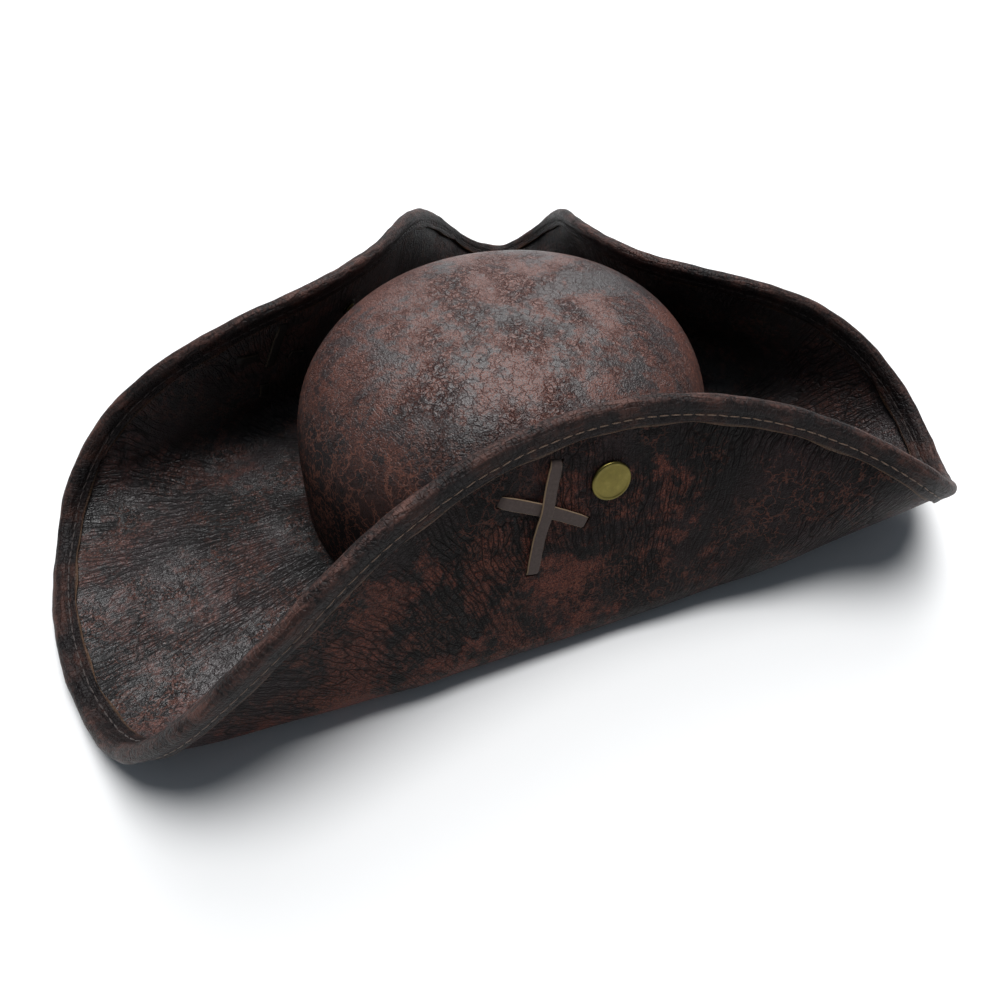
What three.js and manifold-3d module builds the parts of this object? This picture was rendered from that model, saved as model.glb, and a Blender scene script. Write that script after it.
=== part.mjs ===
// A three-cornered pirate hat in soft brown leather: a domed crown, a wired brim folded up into
// three flaps, and on each side flap a laced cross and a brass rivet.
// Millimetres, +Z up. The front corner points to -Y and the wearer's left is +X.
// The origin is the middle of the head opening, at mid thickness of the flat part of the brim.
import * as THREE from "three";
import { mergeVertices } from "three/addons/utils/BufferGeometryUtils.js";
import Module from "manifold-3d";

const wasm = await Module();
wasm.setup();

const { degToRad, clamp, lerp } = THREE.MathUtils;

// Clearance between pieces that touch
const GAP = 0.3;

// Crown: an oval dome with a seam turned in at its foot
const CROWN_HALF_LENGTH = 102;
const CROWN_HALF_WIDTH = 94;
const CROWN_HEIGHT = 95;
const CROWN_SQUARENESS = 3.4;
const CROWN_WALL = 1.6;
const SEAM_WIDTH = 6.5;
const LINING_WALL = 0.7;
const SEAM_THREAD_RADIUS = 0.35;

// Sweatband and the tape over its joint
const BAND_HEIGHT = 32;
const BAND_WALL = 1.2;
const BAND_CLEARANCE = 0.6;
const TAPE_WALL = 0.7;
const TAPE_HALF_ANGLE = 5;

// Brim: two leathers with a stiff core between them
const BRIM_WIDTH = 112;
const BRIM_SIDE_EXTRA = 3;
const SKIN_WALL = 0.9;
const CORE_WALL = 1;
const BRIM_DISH = 4;
const DISH_START = 45;

// Bound edge with a wire in it
const BINDING_WALL = 1.1;
const BINDING_CLEARANCE = 0.6;
const BINDING_WIDTH = 10;
const WIRE_RADIUS = 0.9;
const WIRE_TO_SKINS = 0.7;
const SLEEVE_WALL = 0.5;
const SLEEVE_LENGTH = 12;
const STITCH_INSET = 6.8;
const BINDING_THREAD_RADIUS = 0.4;
const BINDING_THREAD_CLEARANCE = 0.8;

// The three flaps. facing: the way the flap's crease looks, counter-clockwise from the front.
// stand: from the crown's foot to the start of the bend. lean: the angle bent up by.
// radius: of the bend. start and end say how these change towards the two ends of the crease:
// inwards by sweep, by lean, and to radius, CREASE_REACH away from its middle.
const CREASE_REACH = 150;
const FLAPS = [
  {
    facing: 68,
    stand: 5,
    lean: 105.5,
    radius: 10.5,
    start: { sweep: 18, lean: -36, radius: 32 },
    end: { sweep: 39, lean: 12, radius: 70 },
  },
  {
    facing: 185,
    stand: 8,
    lean: 124.5,
    radius: 22,
    start: { sweep: 13, lean: -66, radius: 51 },
    end: { sweep: -9, lean: -59, radius: 69 },
  },
  {
    facing: 287,
    stand: 16,
    lean: 116,
    radius: 12.5,
    start: { sweep: 9, lean: -54, radius: 14 },
    end: { sweep: -23, lean: -63, radius: 32 },
  },
];
const LEAST_LEAN = 5;

// Laces: two on each side flap, a short one and a long one over it. Each slot is its turn from the
// cross's middle and its distance in from the brim's edge. startTail and endTail are how far the
// lace's two ends run back inside the flap.
const LEFT_LACE_TURN = 61;
const RIGHT_LACE_TURN = 299;
const SHORT_LACE = {
  start: { turn: 5, inset: 44 },
  end: { turn: -5, inset: 21 },
  startTail: 9,
  endTail: 9,
};
const LONG_LACE = {
  start: { turn: -4, inset: 57 },
  end: { turn: 2, inset: 15 },
  startTail: 9,
  endTail: 26,
};
// Share of the long lace's arm at which it goes over the short one
const LACE_CROSSING = 0.58;
const LACE_WIDTH = 4.8;
const LACE_WALL = 1.1;
const LACE_CLEARANCE = 0.8;
const SLOT_CLEARANCE = 0.5;

// Rivets
const LEFT_RIVET_TURN = 69.5;
const RIGHT_RIVET_TURN = 284;
const RIVET_INSET = 29;
const RIVET_CLEARANCE = 0.9;
const RIVET_CAP_RADIUS = 8;
const RIVET_CAP_WALL = 1.5;
const RIVET_CAP_BEVEL = 0.5;
const RIVET_POST_RADIUS = 2;
const RIVET_HEAD_RADIUS = 3;
const RIVET_HEAD_WALL = 0.6;
const BURR_RADIUS = 4.8;
const BURR_WALL = 0.8;

// Fineness of the faceted surfaces
const CROWN_STATIONS = 40;
const CROWN_ROWS = [82, 72, 60, 45, 30, 18, 8];
const BRIM_ROWS = 8;
const CORNERS = [
  { from: -28, to: 28 },
  { from: 102, to: 147 },
  { from: 213, to: 258 },
];
const CORNER_STEP = 4.1;
const FLAP_STEP = 6.7;
const ROUND_SEGMENTS = 16;

// Sizes that follow from those above
const PLIES = 2 * SKIN_WALL + CORE_WALL + 2 * GAP;
const BINDING_INNER = PLIES / 2 + BINDING_CLEARANCE;
const BINDING_OUTER = BINDING_INNER + BINDING_WALL;
const PLY_INSET = BINDING_OUTER + WIRE_RADIUS + WIRE_TO_SKINS;
const CROWN_FOOT = PLIES / 2 + GAP;
const BAND_FOOT = CROWN_FOOT + CROWN_WALL + GAP;
const LINING_INSET = CROWN_WALL + GAP;
const BAND_INSET = LINING_INSET + LINING_WALL + BAND_CLEARANCE;

const LEATHER = { color: 0x3a2622, roughness: 0.5, metalness: 0 };
const DARK_LEATHER = { color: 0x2b1e1c, roughness: 0.6, metalness: 0 };
const LACE = { color: 0x5d524d, roughness: 0.8, metalness: 0 };
const BRASS = { color: 0xa8a05a, roughness: 0.35, metalness: 1 };
const STEEL = { color: 0x9a9a98, roughness: 0.35, metalness: 1 };
const THREAD = { color: 0x2a1c18, roughness: 0.9, metalness: 0 };
const CORE = { color: 0x4a4644, roughness: 0.95, metalness: 0 };
const LINING = { color: 0x1d1a1a, roughness: 0.9, metalness: 0 };
const BAND = { color: 0x2c2320, roughness: 0.7, metalness: 0 };

// Geometry from points and triangles, with its faces turned outwards
function solid(points, triangles) {
  let volume = 0;
  for (const [a, b, c] of triangles) {
    volume += points[a].dot(new THREE.Vector3().crossVectors(points[b], points[c]));
  }
  const turned = volume < 0 ? triangles.map(([a, b, c]) => [a, c, b]) : triangles;
  const geometry = new THREE.BufferGeometry().setFromPoints(points);
  geometry.setIndex(turned.flat());
  geometry.computeVertexNormals();
  return geometry;
}

// A solid through a row of matching sections, joined into a ring or capped at both ends.
// Sides listed as returning are split along their other diagonal, as the sides they face are.
function sweep(sections, isRing, returning = []) {
  const count = sections[0].length;
  const triangles = [];
  const spans = isRing ? sections.length : sections.length - 1;
  for (let i = 0; i < spans; i++) {
    const here = i * count;
    const next = ((i + 1) % sections.length) * count;
    for (let j = 0; j < count; j++) {
      const k = (j + 1) % count;
      if (returning.includes(j)) {
        triangles.push([here + j, next + j, here + k], [next + j, next + k, here + k]);
      } else {
        triangles.push([here + j, next + j, next + k], [here + j, next + k, here + k]);
      }
    }
  }
  if (!isRing) {
    const last = spans * count;
    for (let j = 1; j < count - 1; j++) {
      triangles.push([0, j, j + 1], [last, last + j + 1, last + j]);
    }
  }
  return solid(sections.flat(), triangles);
}

// A solid of matching profiles that all start and end on the same two poles
function dome(profiles, outerPole, innerPole) {
  const count = profiles[0].length;
  const points = [...profiles.flat(), outerPole, innerPole];
  const outer = points.length - 2;
  const inner = points.length - 1;
  const triangles = [];
  for (let i = 0; i < profiles.length; i++) {
    const here = i * count;
    const next = ((i + 1) % profiles.length) * count;
    triangles.push([outer, next, here], [inner, here + count - 1, next + count - 1]);
    for (let j = 0; j < count - 1; j++) {
      triangles.push([here + j, next + j, next + j + 1], [here + j, next + j + 1, here + j + 1]);
    }
  }
  return solid(points, triangles);
}

// Piece minus the tools
function cut(piece, tools) {
  const toManifold = (geometry) => {
    const bare = new THREE.BufferGeometry();
    bare.setAttribute("position", geometry.getAttribute("position"));
    bare.setIndex(geometry.getIndex());
    const merged = mergeVertices(bare, 1e-4);
    const vertProperties = new Float32Array(merged.getAttribute("position").array);
    const triVerts = new Uint32Array(merged.getIndex().array);
    return new wasm.Manifold(new wasm.Mesh({ numProp: 3, vertProperties, triVerts }));
  };
  let result = toManifold(piece);
  for (const tool of tools) {
    result = result.subtract(toManifold(tool));
  }
  const mesh = result.getMesh();
  const geometry = new THREE.BufferGeometry();
  geometry.setAttribute("position", new THREE.BufferAttribute(mesh.vertProperties, 3));
  geometry.setIndex(Array.from(mesh.triVerts));
  geometry.computeVertexNormals();
  return geometry;
}

// Way out from the middle at a turn from the front, in degrees counter-clockwise
function outwards(turn) {
  return new THREE.Vector3(Math.sin(degToRad(turn)), -Math.cos(degToRad(turn)), 0);
}

// Distance from the middle to the oval that lies inset inside the crown's foot
function ovalRadius(turn, inset) {
  const way = outwards(turn);
  return 1 / Math.hypot(way.x / (CROWN_HALF_WIDTH - inset), way.y / (CROWN_HALF_LENGTH - inset));
}

// Point of the crown's wall, inset from its outside, at a height
function wallPoint(turn, inset, z) {
  const share = clamp(z / (CROWN_HEIGHT - inset), 0, 1);
  const narrowing = (1 - share ** CROWN_SQUARENESS) ** (1 / CROWN_SQUARENESS);
  return outwards(turn).multiplyScalar(ovalRadius(turn, inset) * narrowing).setZ(z);
}

// Points down the dome's surface from near its pole, ending at a height
function domeRows(turn, inset, foot) {
  const heights = CROWN_ROWS.map((row) => {
    return (CROWN_HEIGHT - inset) * Math.sin(degToRad(row)) ** (2 / CROWN_SQUARENESS);
  });
  return [...heights, foot].map((z) => wallPoint(turn, inset, z));
}

function crownTurns() {
  return Array.from({ length: CROWN_STATIONS }, (_, i) => (i * 360) / CROWN_STATIONS);
}

// Turns round the brim, closer together at the corners
function brimTurns() {
  const turns = [];
  const fill = (from, to, step) => {
    const count = Math.round((to - from) / step);
    for (let i = 0; i < count; i++) {
      turns.push(lerp(from, to, i / count));
    }
  };
  CORNERS.forEach((corner, i) => {
    const following = CORNERS[i + 1]?.from ?? CORNERS[0].from + 360;
    fill(corner.from, corner.to, CORNER_STEP);
    fill(corner.to, following, FLAP_STEP);
  });
  return turns;
}

function brimWidth(turn) {
  return BRIM_WIDTH + BRIM_SIDE_EXTRA * Math.sin(degToRad(turn)) ** 2;
}

// What one flap adds to a point of the flat brim
function bend(flap, flat) {
  const facing = outwards(flap.facing);
  const along = flat.x * -facing.y + flat.y * facing.x;
  const depth = flat.dot(facing);
  if (depth <= 0) {
    return new THREE.Vector3();
  }
  const side = along < 0 ? flap.start : flap.end;
  const share = Math.min(Math.abs(along) / CREASE_REACH, 1.5) ** 2;
  const crease = ovalRadius(flap.facing, 0) + flap.stand - side.sweep * (along / CREASE_REACH) ** 2;
  const radius = lerp(flap.radius, side.radius, share);
  const lean = degToRad(Math.max(flap.lean + side.lean * share, LEAST_LEAN));
  const past = Math.max(depth - crease, 0);
  const angle = Math.min(past / radius, lean);
  const rest = past - radius * angle;
  const inwards = radius * Math.sin(angle) + rest * Math.cos(lean) - past;
  const rise = radius * (1 - Math.cos(angle)) + rest * Math.sin(lean);
  return facing.multiplyScalar(inwards).setZ(rise);
}

// Point at mid thickness of the brim, a reach out from the crown's foot
function midPoint(turn, reach) {
  const flat = outwards(turn).multiplyScalar(ovalRadius(turn, 0) + reach);
  const dished = Math.max(reach - DISH_START, 0) / (brimWidth(turn) - DISH_START);
  const point = flat.clone().setZ(BRIM_DISH * dished ** 2);
  for (const flap of FLAPS) {
    point.add(bend(flap, flat));
  }
  return point;
}

// Place on the brim with its way out, its way round and its upper side
function frameAt(turn, reach) {
  const origin = midPoint(turn, reach);
  const out = midPoint(turn, reach + 0.5).sub(midPoint(turn, reach - 0.5)).normalize();
  const round = midPoint(turn + 0.2, reach).sub(midPoint(turn - 0.2, reach)).normalize();
  const up = new THREE.Vector3().crossVectors(out, round).normalize();
  return { origin, out, round, up };
}

// Point of the brim, lifted off its mid thickness towards its upper side
function brimPoint(turn, reach, lift) {
  const { origin, up } = frameAt(turn, reach);
  return origin.addScaledVector(up, lift);
}

// One of the brim's layers between two lifts
function brimLayer(low, high) {
  const sections = brimTurns().map((turn) => {
    const bound = brimWidth(turn) - BINDING_WIDTH;
    const reaches = [];
    for (let i = 0; i <= BRIM_ROWS; i++) {
      reaches.push(lerp(-SEAM_WIDTH, bound, i / BRIM_ROWS));
    }
    reaches.push(brimWidth(turn) - PLY_INSET);
    const lower = reaches.map((reach) => brimPoint(turn, reach, low));
    const upper = reaches.map((reach) => brimPoint(turn, reach, high));
    return [...lower, ...upper.reverse()];
  });
  const rows = BRIM_ROWS + 2;
  const returning = Array.from({ length: rows }, (_, i) => rows + i);
  return sweep(sections, true, returning);
}

// Round the brim's nose: points at a distance from the wire's middle, from upper to under side
function nose(turn, distance) {
  const { origin, out, up } = frameAt(turn, brimWidth(turn) - BINDING_OUTER);
  return [50, 0, -50].map((angle) => {
    const across = distance * Math.cos(degToRad(angle));
    const rise = distance * Math.sin(degToRad(angle));
    return origin.clone().addScaledVector(out, across).addScaledVector(up, rise);
  });
}

// Sides of the binding's section that run inwards over the brim
const BINDING_RETURNING = [5, 12];

function bindingSection(turn) {
  const width = brimWidth(turn);
  const hem = width - BINDING_WIDTH;
  const turned = width - BINDING_OUTER;
  return [
    brimPoint(turn, hem, BINDING_OUTER),
    brimPoint(turn, turned, BINDING_OUTER),
    ...nose(turn, BINDING_OUTER),
    brimPoint(turn, turned, -BINDING_OUTER),
    brimPoint(turn, hem, -BINDING_OUTER),
    brimPoint(turn, hem, -BINDING_INNER),
    brimPoint(turn, turned, -BINDING_INNER),
    ...nose(turn, BINDING_INNER).reverse(),
    brimPoint(turn, turned, BINDING_INNER),
    brimPoint(turn, hem, BINDING_INNER),
  ];
}

// Round section about a centre, in the plane of two unit vectors
function disc(centre, radius, sides, first, second) {
  return Array.from({ length: sides }, (_, i) => {
    const angle = (2 * Math.PI * (i + 0.5)) / sides;
    const point = centre.clone().addScaledVector(first, radius * Math.cos(angle));
    return point.addScaledVector(second, radius * Math.sin(angle));
  });
}

function wireCentre(turn) {
  return midPoint(turn, brimWidth(turn) - BINDING_OUTER);
}

function wireSection(turn) {
  const { origin, out, up } = frameAt(turn, brimWidth(turn) - BINDING_OUTER);
  return disc(origin, WIRE_RADIUS, 6, out, up);
}

// Thread on one face of the binding: side is 1 on the upper face and -1 on the under face
function bindingThreadSection(turn, side) {
  const width = brimWidth(turn);
  const hem = brimPoint(turn, width - BINDING_WIDTH, side * BINDING_OUTER);
  const turned = brimPoint(turn, width - BINDING_OUTER, side * BINDING_OUTER);
  const share = (BINDING_WIDTH - STITCH_INSET) / (BINDING_WIDTH - BINDING_OUTER);
  const { out, up } = frameAt(turn, width - STITCH_INSET);
  const lift = side * (BINDING_THREAD_CLEARANCE + BINDING_THREAD_RADIUS);
  const centre = hem.lerp(turned, share).addScaledVector(up, lift);
  return disc(centre, BINDING_THREAD_RADIUS, 4, out, up);
}

function crownProfile(turn) {
  const seamWall = CROWN_FOOT + CROWN_WALL;
  const seamEdge = outwards(turn).multiplyScalar(ovalRadius(turn, SEAM_WIDTH));
  return [
    ...domeRows(turn, 0, CROWN_FOOT),
    seamEdge.clone().setZ(CROWN_FOOT),
    seamEdge.clone().setZ(seamWall),
    ...domeRows(turn, CROWN_WALL, seamWall).reverse(),
  ];
}

function liningProfile(turn) {
  return [
    ...domeRows(turn, LINING_INSET, BAND_FOOT),
    ...domeRows(turn, LINING_INSET + LINING_WALL, BAND_FOOT).reverse(),
  ];
}

// A band inside the crown, between two heights
function bandSection(turn, inset, wall, bottom, top) {
  const middle = (bottom + top) / 2;
  return [
    wallPoint(turn, inset, bottom),
    wallPoint(turn, inset, middle),
    wallPoint(turn, inset, top),
    wallPoint(turn, inset + wall, top),
    wallPoint(turn, inset + wall, middle),
    wallPoint(turn, inset + wall, bottom),
  ];
}

// Thread on the crown's seam, midway between the sweatband and the seam's edge
function seamThreadSection(turn) {
  const middle = (BAND_INSET + BAND_WALL + SEAM_WIDTH) / 2;
  const out = outwards(turn);
  const lift = CROWN_FOOT + CROWN_WALL + GAP + SEAM_THREAD_RADIUS;
  const centre = out.clone().multiplyScalar(ovalRadius(turn, middle)).setZ(lift);
  return disc(centre, SEAM_THREAD_RADIUS, 4, out, new THREE.Vector3(0, 0, 1));
}

// Slot of a lace. mirror is 1 on the wearer's left and -1 on the right.
function laceSlot({ turn, inset }, middle, mirror) {
  const slotTurn = middle + mirror * turn;
  return { turn: slotTurn, reach: brimWidth(slotTurn) - inset };
}

// Lace station: middle of its section and the way across its width
function laceStation(turn, reach, lift, way) {
  const { origin, up } = frameAt(turn, reach);
  const across = new THREE.Vector3().crossVectors(up, way).normalize();
  return { centre: origin.addScaledVector(up, lift), across };
}

// Stations between two slots on one side of the brim, with a hump of a height where laces cross
function laceRun(from, to, lift, hump) {
  const start = midPoint(from.turn, from.reach);
  const end = midPoint(to.turn, to.reach);
  const way = end.clone().sub(start);
  const bendShare = 1.6 / way.length();
  const over = [LACE_CROSSING - 0.12, LACE_CROSSING, LACE_CROSSING + 0.12];
  const shares = [bendShare, 0.2, ...over, 0.8, 1 - bendShare];
  return shares.map((share) => {
    const raised = over.includes(share) ? Math.sign(lift) * hump : 0;
    const turn = lerp(from.turn, to.turn, share);
    const reach = lerp(from.reach, to.reach, share);
    return laceStation(turn, reach, lift + raised, way);
  });
}

// The lace inside a slot, going through from one side to the other
function laceThrough(slot, way, fromLift, toLift) {
  return [fromLift, toLift].map((lift) => laceStation(slot.turn, slot.reach, lift, way));
}

function laceWay(from, to) {
  return midPoint(to.turn, to.reach).sub(midPoint(from.turn, from.reach));
}

// Point a length along the way from one slot to another, as a turn and a reach
function partWay(from, to, length) {
  const share = length / laceWay(from, to).length();
  return { turn: lerp(from.turn, to.turn, share), reach: lerp(from.reach, to.reach, share) };
}

// One lace: a tail inside, out through its first slot, an arm outside, in again, and a tail inside
function lace({ start, end, startTail, endTail }, hump) {
  const inside = PLIES / 2 + LACE_CLEARANCE + LACE_WALL / 2;
  const skin = PLIES / 2;
  const way = laceWay(start, end);
  const stations = [
    ...laceRun(partWay(start, end, startTail), start, inside, 0).slice(1),
    ...laceThrough(start, way, skin, -skin),
    ...laceRun(start, end, -inside, hump),
    ...laceThrough(end, way, -skin, skin),
    ...laceRun(end, partWay(end, start, endTail), inside, 0).slice(0, -1),
  ];
  const sections = stations.map(({ centre, across }, i) => {
    const before = stations[Math.max(i - 1, 0)].centre;
    const after = stations[Math.min(i + 1, stations.length - 1)].centre;
    const way = after.clone().sub(before).normalize();
    const thick = new THREE.Vector3().crossVectors(across, way).normalize();
    return [[-1, -1], [1, -1], [1, 1], [-1, 1]].map(([x, y]) => {
      const point = centre.clone().addScaledVector(across, (x * LACE_WIDTH) / 2);
      return point.addScaledVector(thick, (y * LACE_WALL) / 2);
    });
  });
  return sweep(sections, false);
}

// Tools that cut the two slots of a lace through the brim
function slotTools({ start, end }) {
  const way = laceWay(start, end);
  return [start, end].map((slot) => {
    const { origin, up } = frameAt(slot.turn, slot.reach);
    const across = new THREE.Vector3().crossVectors(up, way).normalize();
    const along = new THREE.Vector3().crossVectors(up, across);
    const width = LACE_WIDTH + 2 * SLOT_CLEARANCE;
    const length = 2 * LACE_WALL + 2 * SLOT_CLEARANCE;
    const tool = new THREE.BoxGeometry(width, length, 2 * PLIES);
    const place = new THREE.Matrix4().makeBasis(across, along, up).setPosition(origin);
    return tool.applyMatrix4(place);
  });
}

// Place of a rivet: its middle on the brim, +Y out through the under side
function rivetPlace(turn) {
  const { origin, out, up } = frameAt(turn, brimWidth(turn) - RIVET_INSET);
  const outward = up.clone().negate();
  const side = new THREE.Vector3().crossVectors(outward, out).normalize();
  const forward = new THREE.Vector3().crossVectors(side, outward);
  return new THREE.Matrix4().makeBasis(side, outward, forward).setPosition(origin);
}

function rivetTool(turn) {
  const radius = RIVET_POST_RADIUS + GAP;
  return new THREE.CylinderGeometry(radius, radius, 2 * PLIES, ROUND_SEGMENTS)
    .applyMatrix4(rivetPlace(turn));
}

// Turned piece about Y from pairs of radius and height
function turned(profile) {
  const points = profile.map(([radius, y]) => new THREE.Vector2(radius, y));
  return new THREE.LatheGeometry(points, ROUND_SEGMENTS);
}

// Flat cap, post through the brim and the burr, and the head it is closed with
function rivetShape() {
  const seat = PLIES / 2 + RIVET_CLEARANCE;
  const neck = -seat - BURR_WALL - GAP;
  return turned([
    [0, neck - RIVET_HEAD_WALL],
    [RIVET_HEAD_RADIUS, neck - RIVET_HEAD_WALL],
    [RIVET_HEAD_RADIUS, neck],
    [RIVET_POST_RADIUS, neck],
    [RIVET_POST_RADIUS, seat],
    [RIVET_CAP_RADIUS, seat],
    [RIVET_CAP_RADIUS, seat + RIVET_CAP_WALL - RIVET_CAP_BEVEL],
    [RIVET_CAP_RADIUS - RIVET_CAP_BEVEL, seat + RIVET_CAP_WALL],
    [0, seat + RIVET_CAP_WALL],
  ]);
}

function burrShape() {
  const seat = -PLIES / 2 - RIVET_CLEARANCE;
  const bore = RIVET_POST_RADIUS + GAP;
  return turned([
    [bore, seat - BURR_WALL],
    [BURR_RADIUS, seat - BURR_WALL],
    [BURR_RADIUS, seat],
    [bore, seat],
    [bore, seat - BURR_WALL],
  ]);
}

// Crimped sleeve over the wire, midway along one straight span of it at the back
function sleeve() {
  const turns = brimTurns();
  const back = turns.findIndex((turn) => turn >= FLAPS[1].facing);
  const start = wireCentre(turns[back - 1]);
  const end = wireCentre(turns[back]);
  const bore = WIRE_RADIUS + GAP;
  const shape = turned([
    [bore, -SLEEVE_LENGTH / 2],
    [bore + SLEEVE_WALL, -SLEEVE_LENGTH / 2],
    [bore + SLEEVE_WALL, SLEEVE_LENGTH / 2],
    [bore, SLEEVE_LENGTH / 2],
    [bore, -SLEEVE_LENGTH / 2],
  ]);
  const way = end.clone().sub(start).normalize();
  const turning = new THREE.Quaternion().setFromUnitVectors(new THREE.Vector3(0, 1, 0), way);
  return { shape, turning, middle: start.lerp(end, 0.5) };
}

const hat = new THREE.Group();

function add(name, geometry, look) {
  const mesh = new THREE.Mesh(geometry, new THREE.MeshStandardMaterial(look));
  mesh.name = name;
  hat.add(mesh);
  return mesh;
}

const laces = [["left", LEFT_LACE_TURN, 1], ["right", RIGHT_LACE_TURN, -1]].flatMap(
  ([side, middle, mirror]) => {
    return [["short", SHORT_LACE, 0], ["long", LONG_LACE, LACE_WALL + GAP]].map(([arm, sizes, hump]) => {
      const start = laceSlot(sizes.start, middle, mirror);
      const end = laceSlot(sizes.end, middle, mirror);
      return { name: `${side}_${arm}_lace`, hump, way: { ...sizes, start, end } };
    });
  },
);
const openings = [
  ...laces.flatMap(({ way }) => slotTools(way)),
  rivetTool(LEFT_RIVET_TURN),
  rivetTool(RIGHT_RIVET_TURN),
];

// Brim
const coreTop = CORE_WALL / 2;
const skinTop = PLIES / 2;
add("brim_upper_skin", cut(brimLayer(coreTop + GAP, skinTop), openings), LEATHER);
add("brim_core", cut(brimLayer(-coreTop, coreTop), openings), CORE);
add("brim_under_skin", cut(brimLayer(-skinTop, -coreTop - GAP), openings), LEATHER);

// Edge
const turns = brimTurns();
add("edge_binding", sweep(turns.map(bindingSection), true, BINDING_RETURNING), DARK_LEATHER);
add("brim_wire", sweep(turns.map(wireSection), true), STEEL);
const wireSleeve = sleeve();
const sleeveMesh = add("brim_wire_sleeve", wireSleeve.shape, STEEL);
sleeveMesh.position.copy(wireSleeve.middle);
sleeveMesh.quaternion.copy(wireSleeve.turning);
add("binding_thread_top", sweep(turns.map((turn) => bindingThreadSection(turn, 1)), true), THREAD);
add("binding_thread_under", sweep(turns.map((turn) => bindingThreadSection(turn, -1)), true), THREAD);

// Crown and what is inside it
const pole = (inset) => new THREE.Vector3(0, 0, CROWN_HEIGHT - inset);
const round = crownTurns();
add("crown_shell", dome(round.map(crownProfile), pole(0), pole(CROWN_WALL)), LEATHER);
const liningPoles = [pole(LINING_INSET), pole(LINING_INSET + LINING_WALL)];
add("crown_lining", dome(round.map(liningProfile), ...liningPoles), LINING);
const bandTop = BAND_FOOT + BAND_HEIGHT;
const bandSections = round.map((turn) => {
  return bandSection(turn, BAND_INSET, BAND_WALL, BAND_FOOT, bandTop);
});
add("sweatband", sweep(bandSections, true), BAND);
const tapeSections = [-1, -0.5, 0, 0.5, 1].map((share) => {
  const inset = BAND_INSET + BAND_WALL + BAND_CLEARANCE;
  const bottom = BAND_FOOT + 2 * SEAM_THREAD_RADIUS + 2 * GAP;
  return bandSection(180 + share * TAPE_HALF_ANGLE, inset, TAPE_WALL, bottom, bandTop);
});
add("sweatband_tape", sweep(tapeSections, false), BAND);
add("crown_seam_thread", sweep(round.map(seamThreadSection), true), THREAD);

// Laces and rivets
for (const { name, way, hump } of laces) {
  add(name, lace(way, hump), LACE);
}
for (const [side, turn] of [["left", LEFT_RIVET_TURN], ["right", RIGHT_RIVET_TURN]]) {
  for (const [piece, shape] of [["rivet", rivetShape()], ["burr", burrShape()]]) {
    const mesh = add(`${side}_${piece}`, shape, BRASS);
    rivetPlace(turn).decompose(mesh.position, mesh.quaternion, mesh.scale);
  }
}

export default hat;
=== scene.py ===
"""A three-cornered pirate hat in distressed brown leather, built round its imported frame.

Lengths are in millimetres until a mesh is made, which is in metres. A turn is in degrees, counter-clockwise
from the front corner. A reach is the distance out from the crown's foot along the flat brim.
"""

import math

import bmesh
import bpy
import numpy as np
from mathutils import Matrix, Quaternion, Vector


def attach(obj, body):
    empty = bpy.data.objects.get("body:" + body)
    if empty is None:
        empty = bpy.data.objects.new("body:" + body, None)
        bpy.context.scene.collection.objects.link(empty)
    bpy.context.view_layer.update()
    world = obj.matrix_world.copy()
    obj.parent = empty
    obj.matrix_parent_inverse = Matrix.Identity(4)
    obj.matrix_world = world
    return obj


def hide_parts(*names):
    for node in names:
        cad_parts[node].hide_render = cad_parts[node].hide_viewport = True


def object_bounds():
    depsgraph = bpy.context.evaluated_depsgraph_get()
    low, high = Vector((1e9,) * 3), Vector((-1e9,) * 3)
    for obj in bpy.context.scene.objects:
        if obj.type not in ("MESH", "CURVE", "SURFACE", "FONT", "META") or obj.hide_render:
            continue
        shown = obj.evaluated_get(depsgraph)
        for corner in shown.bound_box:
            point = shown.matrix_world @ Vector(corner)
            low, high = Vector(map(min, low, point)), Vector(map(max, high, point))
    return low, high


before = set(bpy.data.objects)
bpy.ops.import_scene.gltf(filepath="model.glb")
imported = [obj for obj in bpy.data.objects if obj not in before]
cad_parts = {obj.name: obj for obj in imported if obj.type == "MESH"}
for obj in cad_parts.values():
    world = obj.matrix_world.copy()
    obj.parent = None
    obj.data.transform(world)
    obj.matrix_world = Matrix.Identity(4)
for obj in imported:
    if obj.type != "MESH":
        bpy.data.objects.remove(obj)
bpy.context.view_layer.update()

MM = 0.001

# Crown
HALF_LENGTH = 102
HALF_WIDTH = 94
CROWN_HEIGHT = 95
SQUARENESS = 3.4
CROWN_WALL = 1.6
SEAM_WIDTH = 6.5
LINING_WALL = 0.7
BAND_HEIGHT = 32
BAND_WALL = 1.2
BAND_CLEARANCE = 0.6
TAPE_WALL = 0.7
TAPE_HALF_ANGLE = 5

# Brim
BRIM_WIDTH = 112
BRIM_SIDE_EXTRA = 3
SKIN_WALL = 0.9
CORE_WALL = 1.0
GAP = 0.3
BRIM_DISH = 4
DISH_START = 45
PLIES = 2 * SKIN_WALL + CORE_WALL + 2 * GAP
BINDING_WALL = 1.1
BINDING_INNER = PLIES / 2 + 0.6
BINDING_OUTER = BINDING_INNER + BINDING_WALL
BINDING_WIDTH = 10
WIRE_RADIUS = 0.9
PLY_INSET = BINDING_OUTER + WIRE_RADIUS + 0.7
GRAIN_RADIUS = 155
CROWN_FOOT = PLIES / 2 + GAP
BAND_FOOT = CROWN_FOOT + CROWN_WALL + GAP
BAND_INSET = CROWN_WALL + GAP + LINING_WALL + BAND_CLEARANCE

# Flaps: the way the crease looks, its stand off the crown, the lean and radius of its bend,
# and how these change towards its two ends (sweep, lean, radius)
CREASE_REACH = 150
FLAPS = (
    (68, 5, 105.5, 10.5, (18, -36, 32), (39, 12, 70)),
    (185, 8, 124.5, 22, (13, -66, 51), (-9, -59, 69)),
    (287, 16, 116, 12.5, (9, -54, 14), (-23, -63, 32)),
)

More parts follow.
